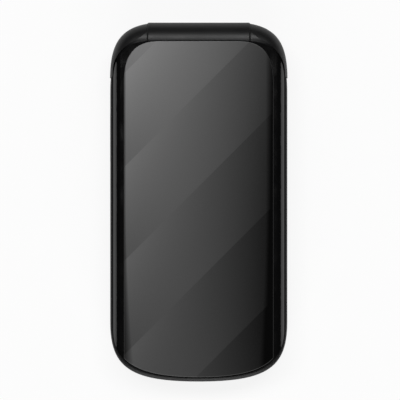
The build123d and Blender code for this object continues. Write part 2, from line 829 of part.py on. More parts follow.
def nav_shape(turn, grow):
    """A quarter of the direction ring, turned from the upward quarter."""
    apex = (nav_gap / 2 - grow) * 2**0.5
    reach = 2 * nav_outer
    with BuildSketch() as quarter:
        Circle(nav_outer + grow)
        Circle(nav_inner - grow, mode=Mode.SUBTRACT)
        Polygon((0, apex), (reach, apex + reach), (-reach, apex + reach), align=None, mode=Mode.INTERSECT)
        fillet(quarter.vertices(), nav_corner + grow)
    with Locations(Location((0, nav_y, 0), (0, 0, turn))):
        add(quarter.sketch)


key_shapes = {}
key_stems = {}
for number, name in enumerate(["1", "2", "3", "4", "5", "6", "7", "8", "9", "star", "0", "hash"]):
    place = ((number % 3 - 1) * column_pitch, first_row_y - number // 3 * row_pitch)
    key_shapes[f"key_{name}"] = (pad_shape, (*place, key_width, key_length))
    key_stems[f"key_{name}"] = place
for name, place in {
    "soft_left_key": (-side_key_x, soft_key_y),
    "soft_right_key": (side_key_x, soft_key_y),
    "call_key": (-side_key_x, call_key_y),
    "end_key": (side_key_x, call_key_y),
}.items():
    key_shapes[name] = (pad_shape, (*place, side_key_width, side_key_length))
    key_stems[name] = place
key_shapes["ok_key"] = (ok_shape, ())
key_stems["ok_key"] = (0, nav_y)
nav_middle = (nav_inner + nav_outer) / 2
for name, turn, across, along in [
    ("nav_up_key", 0, 0, 1), ("nav_left_key", 90, -1, 0),
    ("nav_down_key", 180, 0, -1), ("nav_right_key", 270, 1, 0),
]:
    key_shapes[name] = (nav_shape, (turn,))
    key_stems[name] = (across * nav_middle, nav_y + along * nav_middle)

with BuildPart() as key_plate:
    with BuildSketch(Plane.XY.offset(plate_under)):
        with Locations((0, (plate_top + plate_bottom) / 2)):
            RectangleRounded(2 * plate_half_width, plate_top - plate_bottom, plate_corner)
    extrude(amount=plate_thickness)
    for draw, sizes in key_shapes.values():
        with BuildSketch(Plane.XY.offset(plate_under)):
            draw(*sizes, key_clearance)
        extrude(amount=plate_thickness, mode=Mode.SUBTRACT)
save(key_plate, "key_plate")

for name, (draw, sizes) in key_shapes.items():
    with BuildPart() as key:
        with BuildSketch(Plane.XY.offset(flange_top)):
            draw(*sizes, 0)
        extrude(amount=key_top - flange_top)
        fillet(key.edges().group_by(Axis.Z)[-1], key_round)
        with BuildSketch(Plane.XY.offset(flange_under)):
            draw(*sizes, key_flange)
        extrude(amount=key_flange_thickness)
        post([key_stems[name]], stem_radius, stem_foot, flange_under)
    save(key, name)

with BuildPart() as dome_sheet:
    with BuildSketch(Plane.XY.offset(board_top)):
        rectangle_between(
            -plate_half_width + plate_ledge, plate_half_width - plate_ledge,
            plate_bottom + plate_ledge, plate_top - plate_ledge,
        )
    extrude(amount=sheet_thickness)
    post(list(key_stems.values()), dome_radius, sheet_top, dome_top)
save(dome_sheet, "dome_sheet")

# ---------------------------------------------------------------- lid shells
with BuildPart() as barrel:
    shaft(-barrel_length / 2, barrel_length / 2, barrel_radius)
    fillet(barrel.edges().filter_by(GeomType.CIRCLE), barrel_edge_round)

with BuildPart() as lid_inner_housing:
    with BuildSketch(Plane.XY.offset(lid_floor)):
        add(lid_outline())
    extrude(amount=lid_seam_rise)
    fillet(lid_inner_housing.edges().group_by(Axis.Z)[0], lid_inner_round)
    with BuildSketch(Plane.XY.offset(lid_floor_top)):
        add(lid_outline(lid_wall))
        rectangle_between(-half_width, half_width, body_bottom, lid_cavity_top, Mode.INTERSECT)
    extrude(amount=lid_seam - lid_floor_top, mode=Mode.SUBTRACT)
    clear_knuckles(barrel_length / 2)
    # hinge barrel, with a bore from either end
    add(barrel.part)
    shaft(-barrel_length / 2, -barrel_web / 2, barrel_bore, Mode.SUBTRACT)
    shaft(barrel_web / 2, barrel_length / 2, barrel_bore, Mode.SUBTRACT)
    # screw posts, their holes and the seats of the bumpers that hide them
    post(lid_screw_places, lid_boss_radius, lid_floor_top, lid_seam)
    post(lid_screw_places, lid_screw_radius + screw_fit, lid_floor, lid_seam, Mode.SUBTRACT)
    post(
        lid_screw_places, lid_screw_head_radius + screw_fit, lid_floor,
        lid_floor + bumper_seat_depth + lid_screw_head_height, Mode.SUBTRACT,
    )
    post(lid_screw_places, bumper_radius, lid_floor, lid_floor + bumper_seat_depth, Mode.SUBTRACT)
    # seat of the window and the opening that the display shows through
    with BuildSketch(Plane.XY.offset(lid_floor)):
        with Locations((0, display_y)):
            RectangleRounded(
                window_width + 2 * panel_fit, window_length + 2 * panel_fit, window_corner + panel_fit
            )
    extrude(amount=window_sink + window_thickness, mode=Mode.SUBTRACT)
    with BuildSketch(Plane.XY.offset(lid_floor)):
        with Locations((0, display_y)):
            Rectangle(view_width, view_length)
    extrude(amount=lid_floor_thickness, mode=Mode.SUBTRACT)
    # sound slot of the earpiece, and the seat of its mesh
    with BuildSketch(Plane.XY.offset(lid_floor)):
        with Locations((0, earpiece_y)):
            SlotOverall(
                earpiece_slot_width + 2 * earpiece_mesh_border,
                earpiece_slot_length + 2 * earpiece_mesh_border,
            )
    extrude(amount=window_sink + earpiece_mesh_thickness, mode=Mode.SUBTRACT)
    with BuildSketch(Plane.XY.offset(lid_floor)):
        with Locations((0, earpiece_y)):
            SlotOverall(earpiece_slot_width, earpiece_slot_length)
    extrude(amount=lid_floor_thickness, mode=Mode.SUBTRACT)
    # slot that lets the flexible circuit out of the barrel
    with BuildSketch(Plane.XY.offset(hinge_height + flex_tail_rise - flex_thickness)):
        rectangle_between(
            -flex_tail_start - flex_thickness, -flex_tail_end + flex_thickness, lid_cavity_top, hinge_y
        )
    extrude(amount=2 * flex_thickness, mode=Mode.SUBTRACT)
save(lid_inner_housing, "lid_inner_housing")

with BuildPart() as lid_outer_shell:
    with BuildSketch(Plane.XY.offset(lid_seam)):
        add(lid_outline())
    extrude(amount=lid_frame_top - lid_seam)
    # the sides fall away from the panel, then round off to the walls, along the lid's whole length
    with BuildSketch(Plane.XZ.offset(-body_top)) as section:
        with BuildLine():
            Bezier(
                (panel_half_width, lid_frame_top),
                (panel_half_width + lid_side_level * lid_fall_width, lid_frame_top),
                (lid_edge_x - lid_turn_width, lid_edge_top + lid_edge_slope * lid_turn_width),
                (lid_edge_x, lid_edge_top),
            )
            Bezier(
                (lid_edge_x, lid_edge_top),
                (lid_edge_x + lid_edge_out * lid_edge_width, lid_edge_top - lid_edge_down * lid_edge_drop),
                (lid_half_width, lid_edge_top - lid_edge_drop),
            )
            Polyline(
                (lid_half_width, lid_edge_top - lid_edge_drop), (lid_half_width, lid_seam), (0, lid_seam)
            )
            mirror(about=Plane.YZ)
            Line((-panel_half_width, lid_frame_top), (panel_half_width, lid_frame_top))
        make_face()
    extrude(amount=body_length, mode=Mode.INTERSECT)
    with BuildSketch(Plane.XY.offset(lid_seam)):
        add(lid_outline(lid_wall))
        rectangle_between(-half_width, half_width, body_bottom, lid_cavity_top, Mode.INTERSECT)
    extrude(amount=lid_roof - lid_seam, mode=Mode.SUBTRACT)
    with BuildSketch(Plane.XY.offset(panel_floor)):
        add(panel_outline(-panel_fit, -panel_fit))
    extrude(amount=panel_seat_depth + 1, mode=Mode.SUBTRACT)
    clear_knuckles(0)
    post(lid_screw_places, lid_boss_radius, lid_seam, lid_roof)
    post(
        lid_screw_places, lid_screw_radius, lid_seam,
        lid_floor + bumper_seat_depth + lid_screw_head_height + lid_screw_length + screw_fit, Mode.SUBTRACT,
    )
save(lid_outer_shell, "lid_outer_shell")

panel_face = panel_floor + panel_edge_thickness
with BuildPart() as lid_front_panel:
    with BuildSketch(Plane.XY.offset(panel_floor)):
        add(panel_outline())
    extrude(amount=panel_edge_thickness + panel_crown)
    # the face is crowned across the phone
    with BuildSketch(Plane.XZ.offset(-body_top)):
        with BuildLine():
            ThreePointArc(
                (-panel_half_width, panel_face), (0, panel_face + panel_crown), (panel_half_width, panel_face)
            )
            Polyline(
                (panel_half_width, panel_face), (panel_half_width, panel_floor),
                (-panel_half_width, panel_floor), (-panel_half_width, panel_face),
            )
        make_face()
    extrude(amount=body_length, mode=Mode.INTERSECT)
    chamfer(lid_front_panel.faces().sort_by(Axis.Z)[-1].edges(), panel_edge_bevel)
save(lid_front_panel, "lid_front_panel")

# ---------------------------------------------------------------- lid contents
with BuildPart() as display_window:
    with BuildSketch(Plane.XY.offset(lid_floor + window_sink)):
        with Locations((0, display_y)):
            RectangleRounded(window_width, window_length, window_corner)
    extrude(amount=window_thickness)
save(display_window, "display_window")

with BuildPart() as display_module:
    with BuildSketch(Plane.XY.offset(lid_floor_top)):
        with Locations((0, display_y)):
            Rectangle(display_width, display_length)
    extrude(amount=display_thickness)
save(display_module, "display_module")

display_back = lid_floor_top + display_thickness
with BuildPart() as lid_board:
    with BuildSketch(Plane.XY.offset(display_back)):
        add(lid_outline(lid_wall + board_edge_gap))
        rectangle_between(
            -half_width, half_width, body_bottom, lid_cavity_top - board_edge_gap, Mode.INTERSECT
        )
        with Locations(*[(x + (board_notch if x > 0 else -board_notch), y) for x, y in lid_screw_places]):
            Rectangle(4 * board_notch, 2 * board_notch, mode=Mode.SUBTRACT)
    extrude(amount=lid_board_thickness)
save(lid_board, "lid_board")

with BuildPart() as earpiece:
    with BuildSketch(Plane.XY.offset(lid_floor_top)):
        with Locations((0, earpiece_y)):
            RectangleRounded(earpiece_width, earpiece_length, 1.5)
    extrude(amount=earpiece_thickness)
save(earpiece, "earpiece")

with BuildPart() as earpiece_mesh:
    with BuildSketch(Plane.XY.offset(lid_floor + window_sink)):
        with Locations((0, earpiece_y)):
            SlotOverall(
                earpiece_slot_width + 2 * (earpiece_mesh_border - panel_fit),
                earpiece_slot_length + 2 * (earpiece_mesh_border - panel_fit),
            )
    extrude(amount=earpiece_mesh_thickness)
save(earpiece_mesh, "earpiece_mesh")

with BuildPart() as lid_magnet:
    with BuildSketch(Plane.XY.offset(lid_floor_top)):
        with Locations((magnet_x, earpiece_y)):
            Rectangle(magnet_size, magnet_size)
    extrude(amount=magnet_thickness)
save(lid_magnet, "lid_magnet")

with BuildPart() as lid_bumpers:
    post(lid_screw_places, bumper_radius, base_height + bumper_stand_off, lid_floor + bumper_seat_depth)
    fillet(lid_bumpers.edges().group_by(Axis.Z)[0], bumper_seat_depth / 2)
save(lid_bumpers, "lid_bumpers")

lid_screw_seat = lid_floor + bumper_seat_depth + lid_screw_head_height
with BuildPart() as lid_screws:
    post(lid_screw_places, lid_screw_head_radius, lid_floor + bumper_seat_depth, lid_screw_seat)
    post(lid_screw_places, lid_screw_radius, lid_screw_seat, lid_screw_seat + lid_screw_length)
save(lid_screws, "lid_screws")

# ---------------------------------------------------------------- hinge mechanism, in the barrel's two bores
sleeve_wall = 0.6
sleeve_end_wall = 0.9
cam_length = 3.0
follower_length = 2.6
cam_gap = 0.1
cam_pin_radius = 1.9
spring_wire = 0.5
spring_turns = 5
tube_reach = 3.2
tube_wall = 1.3

sleeve_start = barrel_web / 2
sleeve_end = barrel_length / 2
sleeve_inner = barrel_bore - sleeve_wall
cam_end = sleeve_end - sleeve_end_wall - cam_gap
cam_start = cam_end - cam_length
follower_start = cam_start - cam_gap - follower_length

with BuildPart() as hinge_sleeve:
    shaft(sleeve_start, sleeve_end, barrel_bore)
    shaft(sleeve_start + sleeve_end_wall, sleeve_end - sleeve_end_wall, sleeve_inner, Mode.SUBTRACT)
    shaft(sleeve_end - sleeve_end_wall, sleeve_end, cam_pin_radius + pivot_clearance, Mode.SUBTRACT)
save(hinge_sleeve, "hinge_sleeve")

with BuildPart() as hinge_follower:
    shaft(follower_start, follower_start + follower_length, sleeve_inner)
save(hinge_follower, "hinge_follower")

with BuildPart() as hinge_cam:
    shaft(cam_start, cam_end, sleeve_inner - pivot_clearance)
    shaft(cam_end, knuckle_start, cam_pin_radius)
    shaft(knuckle_start, knuckle_start + pin_depth, barrel_bore - pivot_clearance)
save(hinge_cam, "hinge_cam")

spring_start = sleeve_start + sleeve_end_wall + spring_wire / 2
spring_end = follower_start - spring_wire / 2
spring_radius = sleeve_inner - spring_wire
with BuildPart() as hinge_spring:
    with BuildLine() as spring_line:
        Helix(
            pitch=(spring_end - spring_start) / spring_turns, height=spring_end - spring_start,
            radius=spring_radius, center=(spring_start, hinge_y, hinge_height), direction=(1, 0, 0),
        )
    with BuildSketch(Plane(origin=spring_line.line @ 0, z_dir=spring_line.line % 0)):
        Circle(spring_wire / 2)
    sweep(is_frenet=True)
save(hinge_spring, "hinge_spring")

with BuildPart() as hinge_tube:
    shaft(-knuckle_start - pin_depth, -barrel_length / 2 + tube_reach, barrel_bore - pivot_clearance)
    shaft(
        -knuckle_start - pin_depth, -barrel_length / 2 + tube_reach,
        barrel_bore - pivot_clearance - tube_wall, Mode.SUBTRACT,
    )
save(hinge_tube, "hinge_tube")

tail_root = ((flex_radius - flex_thickness / 2) ** 2 - flex_tail_rise**2) ** 0.5
with BuildPart() as hinge_flex:
    shaft(-knuckle_start - pin_depth / 2, -barrel_web / 2, flex_radius)
    shaft(-knuckle_start - pin_depth / 2, -barrel_web / 2, flex_radius - flex_thickness, Mode.SUBTRACT)
    # the tail that leaves the barrel for the lid's board
    with BuildSketch(Plane.XY.offset(hinge_height + flex_tail_rise - flex_thickness / 2)):
        rectangle_between(
            -flex_tail_start, -flex_tail_end, lid_cavity_top - flex_tail_reach, hinge_y - tail_root
        )
    extrude(amount=flex_thickness)
save(hinge_flex, "hinge_flex")
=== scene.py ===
"""Dresses the folding phone: a finish for every part, the key marks, the woven grilles, the hinge's dark slip
washers that stand in for the shade in its seams, and the studio with its camera."""

import json
import logging
import math
from dataclasses import dataclass, field
from enum import Enum
from functools import partial, reduce
from typing import Any

import bmesh
import bpy
import numpy as np
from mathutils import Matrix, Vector

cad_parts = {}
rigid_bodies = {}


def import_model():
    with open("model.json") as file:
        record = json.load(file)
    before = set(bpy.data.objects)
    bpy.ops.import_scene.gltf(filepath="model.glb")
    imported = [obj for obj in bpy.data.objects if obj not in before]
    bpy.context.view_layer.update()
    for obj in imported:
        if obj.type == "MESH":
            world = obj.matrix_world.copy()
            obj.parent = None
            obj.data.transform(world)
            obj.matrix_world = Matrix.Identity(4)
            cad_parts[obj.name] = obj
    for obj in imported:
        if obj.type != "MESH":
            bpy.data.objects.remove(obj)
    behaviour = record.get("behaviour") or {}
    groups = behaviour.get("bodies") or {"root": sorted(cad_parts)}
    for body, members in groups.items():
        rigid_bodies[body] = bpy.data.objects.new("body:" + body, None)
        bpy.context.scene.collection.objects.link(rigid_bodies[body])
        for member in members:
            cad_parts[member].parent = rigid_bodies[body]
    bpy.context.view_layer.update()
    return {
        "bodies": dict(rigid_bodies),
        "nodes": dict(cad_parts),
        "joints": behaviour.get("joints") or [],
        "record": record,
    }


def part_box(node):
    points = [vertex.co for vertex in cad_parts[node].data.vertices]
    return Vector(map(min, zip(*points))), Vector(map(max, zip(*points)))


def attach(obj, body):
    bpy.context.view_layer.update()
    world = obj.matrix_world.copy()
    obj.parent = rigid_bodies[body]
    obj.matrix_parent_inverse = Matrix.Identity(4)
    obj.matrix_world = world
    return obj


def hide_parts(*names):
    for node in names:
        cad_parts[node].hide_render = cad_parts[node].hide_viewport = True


MM = 0.001
MICRON = 0.000001
SOFT_EDGE = 0.02 * MM
TURN = 2 * math.pi
log = logging.getLogger("folding_phone")

Color = tuple[float, float, float]
Pair = tuple[float, float]
Socket = bpy.types.NodeSocket


# ---------------------------------------------------------------- finishes
def shade(color: Color, factor: float, lift: float = 0.0) -> Color:
    """Make a colour lighter or darker by a factor and a lift, held at white."""
    return tuple(min(1.0, factor * share + lift) for share in color)


class Graph:
    """The node tree of one material, with a short call for each kind of node that the finishes use."""

    def __init__(self, name: str) -> None:
        """Start a tree that holds a Principled shader on its output.

        Args:
            name: the material's name.
        """
        self.material = bpy.data.materials.new(name)
        self.material.use_nodes = True
        self.tree = self.material.node_tree
        self.tree.nodes.clear()
        self.output = self.tree.nodes.new("ShaderNodeOutputMaterial")
        self.shader = self.tree.nodes.new("ShaderNodeBsdfPrincipled")
        self.tree.links.new(self.shader.outputs["BSDF"], self.output.inputs["Surface"])
        self.place = self.tree.nodes.new("ShaderNodeTexCoord").outputs["Object"]
        self.x, self.y, self.z = self.node("ShaderNodeSeparateXYZ", {0: self.place}).outputs

    def put(self, socket: Socket, value: Any) -> None:
        """Link a socket to another one, or set its plain value.

        Args:
            socket: the input that is fed.
            value: an output socket, a number or a colour.
        """
        if isinstance(value, bpy.types.NodeSocket):
            self.tree.links.new(value, socket)
        elif socket.type == "RGBA":
            socket.default_value = (*value, 1.0)
        else:
            socket.default_value = value

    def node(self, kind: str, inputs: dict[Any, Any] | None = None, **settings: Any) -> bpy.types.Node:
        """Add one node.

        Args:
            kind: Blender's name for the node.
            inputs: what each input, by name or number, is fed with.
            settings: the node's own options.

        Returns:
            The new node.
        """
        made = self.tree.nodes.new(kind)
        for key, value in settings.items():
            setattr(made, key, value)
        for key, value in (inputs or {}).items():
            self.put(made.inputs[key], value)
        return made

    def coat(self, color: Any, rough: Any, normal: Socket, **others: Any) -> None:
        """Feed the Principled shader.

        Args:
            color: the base colour.
            rough: the roughness.
            normal: the bumped normal.
            others: further inputs, by their names in small letters with low lines between the words.
        """
        fed = {"base_color": color, "roughness": rough, "normal": normal, **others}
        for socket in self.shader.inputs:
            name = socket.name.lower().replace(" ", "_")
            if name in fed:
                self.put(socket, fed[name])

    def math(self, operation: str, *values: Any) -> Socket:
        """Work out one number at each point, by Blender's name for the sum."""
        return self.node("ShaderNodeMath", dict(enumerate(values)), operation=operation).outputs[0]

    def total(self, *values: Any) -> Socket:
        """Add up numbers or sockets."""
        return reduce(partial(self.math, "ADD"), values)

    def product(self, *values: Any) -> Socket:
        """Multiply numbers or sockets."""
        return reduce(partial(self.math, "MULTIPLY"), values)

    def rescale(
        self, value: Any, low: float, high: float, to_low: float = 0.0, to_high: float = 1.0
    ) -> Socket:
        """Carry a range of values evenly to another range, and hold it there.

        Args:
            value: what is carried.
            low: the start of its range.
            high: the end of its range.
            to_low: what the start becomes.
            to_high: what the end becomes.

        Returns:
            The result's socket.
        """
        inputs = {0: value, 1: low, 2: high, 3: to_low, 4: to_high}
        return self.node("ShaderNodeMapRange", inputs, clamp=True).outputs[0]

    def spread(self, mottle: Socket, to_low: float = 0.0, to_high: float = 1.0) -> Socket:
        """Carry mottling's usual range, 0.3 to 0.7, evenly to another range."""
        return self.rescale(mottle, 0.3, 0.7, to_low, to_high)

    def stretched(self, *factors: float) -> Socket:
        """Give the place with X, Y and Z stretched by a factor each, for patterns that run one way."""
        return self.node("ShaderNodeMapping", {"Vector": self.place, "Scale": factors}).outputs[0]

    def noise(self, size: float, detail: float, vector: Socket | None = None) -> Socket:
        """Give soft random mottling from 0 to 1.

        Args:
            size: the width of a mottle, in millimetres.
            detail: how many finer layers lie on it.
            vector: the place that it reads, if not the plain one.

        Returns:
            The mottling's socket.
        """
        inputs = {"Vector": vector or self.place, "Scale": 1 / (size * MM), "Detail": detail}
        return self.node("ShaderNodeTexNoise", inputs).outputs[0]

    def mix(self, share: Any, first: Any, second: Any) -> Socket:
        """Blend two colours.

        Args:
            share: how much of the second shows, from 0 to 1.
            first: a colour or its socket.
            second: a colour or its socket.

        Returns:
            The blended colour's socket.
        """
        return self.node("ShaderNodeMix", {0: share, 6: first, 7: second}, data_type="RGBA").outputs[2]

    def relief(self, height: Socket, depth: float, below: Socket | None = None) -> Socket:
        """Turn a height from 0 to 1 into a bumped normal.

        Args:
            height: the height's socket.
            depth: what a height of 1 stands up, in microns.
            below: another bumped normal that this one lies on.

        Returns:
            The normal's socket.
        """
        inputs: dict[Any, Any] = {"Height": height, "Distance": depth * MICRON, "Strength": 1.0}
        if below is not None:
            inputs["Normal"] = below
        return self.node("ShaderNodeBump", inputs).outputs[0]

    def within(self, distance: Socket, reach: float) -> Socket:
        """Give 1 up to a distance in millimetres and 0 beyond it, with a soft edge between."""
        return self.rescale(distance, reach * MM - SOFT_EDGE, reach * MM + SOFT_EDGE, 1.0, 0.0)

    def away(self, axis: Socket, middle: float) -> Socket:
        """Give the distance along one axis from a place in millimetres."""
        return self.math("ABSOLUTE", self.math("SUBTRACT", axis, middle * MM))

    def box_mask(self, centre: Pair, half: Pair) -> Socket:
        """Give 1 inside an upright rectangle in plan, in millimetres, and 0 outside.

        Args:
            centre: its middle.
            half: its half width and half length.

        Returns:
            The mask's socket.
        """
        axes = ((self.x, centre[0], half[0]), (self.y, centre[1], half[1]))
        return self.product(*(self.within(self.away(axis, middle), reach) for axis, middle, reach in axes))

    def radius(self, centre: Pair) -> Socket:
        """Give the distance in plan from a point in millimetres, in metres."""
        sides = [self.math("SUBTRACT", axis, middle * MM) for axis, middle in zip((self.x, self.y), centre)]
        return self.math("SQRT", self.total(*(self.math("POWER", side, 2.0) for side in sides)))

    def edge_wear(self, reach: float) -> Socket:
        """Give 1 on sharp outer edges, broken up, and 0 on open faces.

        Args:
            reach: how wide the worn edge is, in millimetres.

        Returns:
            The wear's socket.
        """
        rounded = self.node("ShaderNodeBevel", {"Radius": reach * MM}, samples=4).outputs[0]
        facing = self.node("ShaderNodeNewGeometry").outputs["Normal"]
        turn = self.node("ShaderNodeVectorMath", {0: rounded, 1: facing}, operation="DOT_PRODUCT")
        bare = self.rescale(turn.outputs["Value"], 0.97, 0.80)
        return self.product(bare, self.rescale(self.noise(1.6, 3.0), 0.42, 0.62))


class Finish:
    """A named finish, which paints the tree of its material in its own way.

    Its sizes and places are in millimetres, and the depths of its relief in microns.
    """

    name: str

    def build(self) -> bpy.types.Material:
        """Make the material.

        Returns:
            The material.
        """
        graph = Graph(self.name)
        self.paint(graph)
        return graph.material

    def paint(self, graph: Graph) -> None:
        """Feed the shader in the finish's own way."""
        raise NotImplementedError


class Wear(Enum):
    """How much an edge has been handled."""

    NONE = 0.0
    LIGHT = 0.35
    FAIR = 0.7


@dataclass(frozen=True)
class MouldedPlastic(Finish):
    """Moulded plastic with a fine grain, faint handling marks and lighter, smoother edges."""

    name: str
    color: Color
    roughness: float = 0.36
    grain: float = 0.22
    depth: float = 2.5
    wear: Wear = Wear.LIGHT
    level: float = 0.5

    def paint(self, graph: Graph) -> None:
        """Feed the shader.

        Args:
            graph: the material's tree.
        """
        cloud = graph.noise(11.0, 3.0)
        tone = graph.mix(graph.spread(cloud), shade(self.color, 0.8), shade(self.color, 1.2))
        smudge = graph.rescale(graph.noise(6.0, 4.0), 0.45, 0.75, 0.0, 0.07)
        uneven = graph.spread(graph.noise(self.grain, 2.0), -0.03, 0.03)
        rough = graph.total(smudge, uneven, self.roughness)
        if self.wear is not Wear.NONE:
            bare = graph.product(graph.edge_wear(0.25), self.wear.value)
            tone = graph.mix(bare, tone, shade(self.color, 1.9, 0.012))
            rough = graph.math("SUBTRACT", rough, graph.product(bare, 0.12))
        grain = graph.relief(graph.noise(self.grain, 2.0), self.depth)
        graph.coat(tone, rough, graph.relief(cloud, 4.0, grain), specular_ior_level=self.level)


@dataclass(frozen=True)
class PanelPrintAndPaintedLight(Finish):
    """The lid's printed film under clear gloss: slanting printed bands, with a painted reflection that fades
    from upper left to lower right and painted shade along both sides.
    """

    name: str = "gloss_panel"
    bands_per_mm: float = 0.0366
    first_band: float = 2.17
    half_width: float = 22.0
    half_length: float = 48.0
    side: float = 21.8
    # middle_tone to twist paint a reflection that is lighter at upper left and darker at lower right.
    middle_tone: float = 0.323
    across: float = -0.124
    along: float = 0.082
    crown_across: float = -0.051
    crown_along: float = 0.028
    twist: float = -0.018
    step: float = 0.026
    step_across: float = 0.041
    step_crown: float = -0.049
    fleck: float = 0.004
    # These terms paint shade as a darker border along both sides.
    painted_shade_edge_tone: float = 0.45
    painted_shade_widths: Pair = (0.6, 2.4)
    painted_shade_foot: float = 2.2
    toe: float = 0.055
    power: float = 2.4
    mirror: float = 0.010
    darkest: float = 0.0015
    roughness: float = 0.055

    def paint(self, graph: Graph) -> None:
        """Feed the shader.

        The tone is a plain quadratic in the place on the panel, a painted reflection that fades from upper
        left to lower right, plus a saw-tooth along the bands' slant, which is the print, whose height is a
        quadratic across the panel. The tone darkens evenly over a border along both sides, as painted shade,
        which widens from left to right and with the square of the way to the foot. It is a display tone,
        carried to light by the usual 2.4 power, less the light that the gloss adds.

        Args:
            graph: the material's tree.
        """
        across = graph.math("DIVIDE", graph.x, self.half_width * MM)
        along = graph.math("DIVIDE", graph.y, self.half_length * MM)
        square = graph.product(across, across)
        slant = graph.math("SUBTRACT", graph.x, graph.y)
        count = graph.math("MULTIPLY_ADD", slant, self.bands_per_mm / MM, self.first_band)
        ramp = graph.math("SUBTRACT", graph.math("FRACT", count), 0.5)
        height = graph.total(
            self.step, graph.product(across, self.step_across), graph.product(square, self.step_crown)
        )
        # The quadratic terms are painted reflection; the ramp's saw-tooth is the printed bands.
        tone = graph.total(
            self.middle_tone,
            graph.product(across, self.across),
            graph.product(along, self.along),
            graph.product(across, along, self.twist),
            graph.product(square, self.crown_across),
            graph.product(along, along, self.crown_along),
            graph.product(ramp, height),
            graph.spread(graph.noise(0.35, 3.0), -self.fleck, self.fleck),
        )
        # Painted shade: a darker border along both sides, wider towards the foot.
        foot = graph.math("MINIMUM", along, 0.0)
        widths = graph.rescale(across, -1.0, 1.0, *self.painted_shade_widths)
        painted_shade_border = graph.total(widths, graph.product(foot, foot, self.painted_shade_foot))
        inward = graph.math("MULTIPLY_ADD", graph.math("ABSOLUTE", graph.x), -1 / MM, self.side)
        edge = graph.rescale(graph.math("DIVIDE", inward, painted_shade_border), 0.0, 1.0, self.painted_shade_edge_tone, 1.0)
        tone = graph.math("MAXIMUM", graph.product(tone, edge), 0.0)
        lifted = graph.math("DIVIDE", graph.math("ADD", tone, self.toe), 1 + self.toe)
        light = graph.math("SUBTRACT", graph.math("POWER", lifted, self.power), self.mirror)
        light = graph.math("MAXIMUM", light, self.darkest)
        tint = graph.node("ShaderNodeCombineColor", {0: light, 1: light, 2: light}).outputs[0]
        hairlines = graph.noise(0.6, 2.0, graph.stretched(1.0, 14.0, 1.0))
        dust = graph.rescale(graph.noise(9.0, 4.0), 0.5, 0.8, 0.0, 0.05)
        rough = graph.total(self.roughness, dust, graph.rescale(hairlines, 0.55, 0.75, 0.0, 0.03))
        graph.coat(tint, rough, graph.relief(graph.noise(7.0, 1.0), 6.0), specular_ior_level=0.45)


@dataclass(frozen=True)
class BrushedLacquer(Finish):
    """Metallic lacquer with fine lines brushed across it, worn a little at its edges."""

    name: str
    color: Color
    bare: Color = (0.42, 0.42, 0.43)
    roughness: float = 0.34

    def paint(self, graph: Graph) -> None:
        """Feed the shader.

        Args:
            graph: the material's tree.
        """
        lines = graph.noise(4.0, 6.0, graph.stretched(1.0, 60.0, 1.0))
        tone = graph.mix(graph.spread(lines), shade(self.color, 0.75), shade(self.color, 1.3))
        tone = graph.mix(graph.product(graph.edge_wear(0.2), 0.6), tone, self.bare)
        rough = graph.rescale(lines, 0.25, 0.75, self.roughness - 0.07, self.roughness + 0.09)
        graph.coat(tone, rough, graph.relief(lines, 4.0), metallic=0.55, anisotropic=0.4)


@dataclass(frozen=True)
class ScreenWindow(Finish):
    """A clear gloss window, backed in black, with the dark display's fine grid behind its middle."""

    centre: Pair
    half: Pair
    name: str = "display_window_gloss"
    pixel: float = 0.17
    rim: float = 0.35
    backing: Color = (0.006, 0.006, 0.007)
    frame: Color = (0.018, 0.018, 0.019)
    gap: Color = (0.008, 0.008, 0.009)
    deep: Color = (0.020, 0.024, 0.027)
    light: Color = (0.030, 0.034, 0.036)

    def paint(self, graph: Graph) -> None:
        """Feed the shader.

        Args:
            graph: the material's tree.
        """
        inside = graph.box_mask(self.centre, self.half)
        around = graph.box_mask(self.centre, tuple(reach + self.rim for reach in self.half))
        rows = graph.math("PINGPONG", graph.y, self.pixel * MM / 2)
        columns = graph.math("PINGPONG", graph.x, self.pixel * MM / 6)
        gaps = graph.total(
            graph.rescale(rows, 0.0, 0.18 * self.pixel * MM, 0.35, 0.0),
            graph.rescale(columns, 0.0, 0.06 * self.pixel * MM, 0.25, 0.0),
        )
        glow = graph.mix(graph.spread(graph.noise(20.0, 2.0)), self.deep, self.light)
        screen = graph.mix(gaps, glow, self.gap)
        rim = graph.mix(graph.math("SUBTRACT", around, inside), self.backing, self.frame)
        smear = graph.rescale(graph.noise(8.0, 5.0), 0.5, 0.8, 0.0, 0.09)
        rough = graph.math("ADD", smear, 0.045)
        graph.coat(graph.mix(inside, rim, screen), rough, graph.relief(graph.noise(12.0, 1.0), 4.0))


@dataclass(frozen=True)
class LensWindow(Finish):
    """A round clear window: a bright turned ring, a black surround and a coated lens in the middle."""

    centre: Pair
    name: str = "camera_window_gloss"
    ring: float = 3.75
    inner: float = 2.0
    pupil: float = 0.8
    backing: Color = (0.006, 0.006, 0.007)
    turned: Color = (0.5, 0.5, 0.51)
    dark: Color = (0.002, 0.002, 0.003)
    coats: tuple[Color, Color] = ((0.010, 0.022, 0.045), (0.045, 0.012, 0.050))

    def paint(self, graph: Graph) -> None:
        """Feed the shader.

        Args:
            graph: the material's tree.
        """
        out = graph.radius(self.centre)
        turned = graph.product(
            graph.rescale(out, (self.ring - 0.25) * MM, (self.ring - 0.2) * MM),
            graph.rescale(out, (self.ring + 0.05) * MM, self.ring * MM),
        )
        lens = graph.rescale(out, self.inner * MM, (self.inner - 0.06) * MM)
        pupil = graph.rescale(out, self.pupil * MM, (self.pupil - 0.1) * MM)
        coat = graph.mix(graph.rescale(out, self.pupil * MM, self.inner * MM), *self.coats)
        tone = graph.mix(turned, self.backing, self.turned)
        tone = graph.mix(lens, tone, graph.mix(pupil, coat, self.dark))
        smear = graph.rescale(graph.noise(2.0, 3.0), 0.5, 0.8, 0.0, 0.08)
        rough = graph.total(0.05, smear, graph.product(turned, 0.18))
        graph.coat(tone, rough, graph.relief(graph.noise(3.0, 1.0), 2.0), metallic=turned)


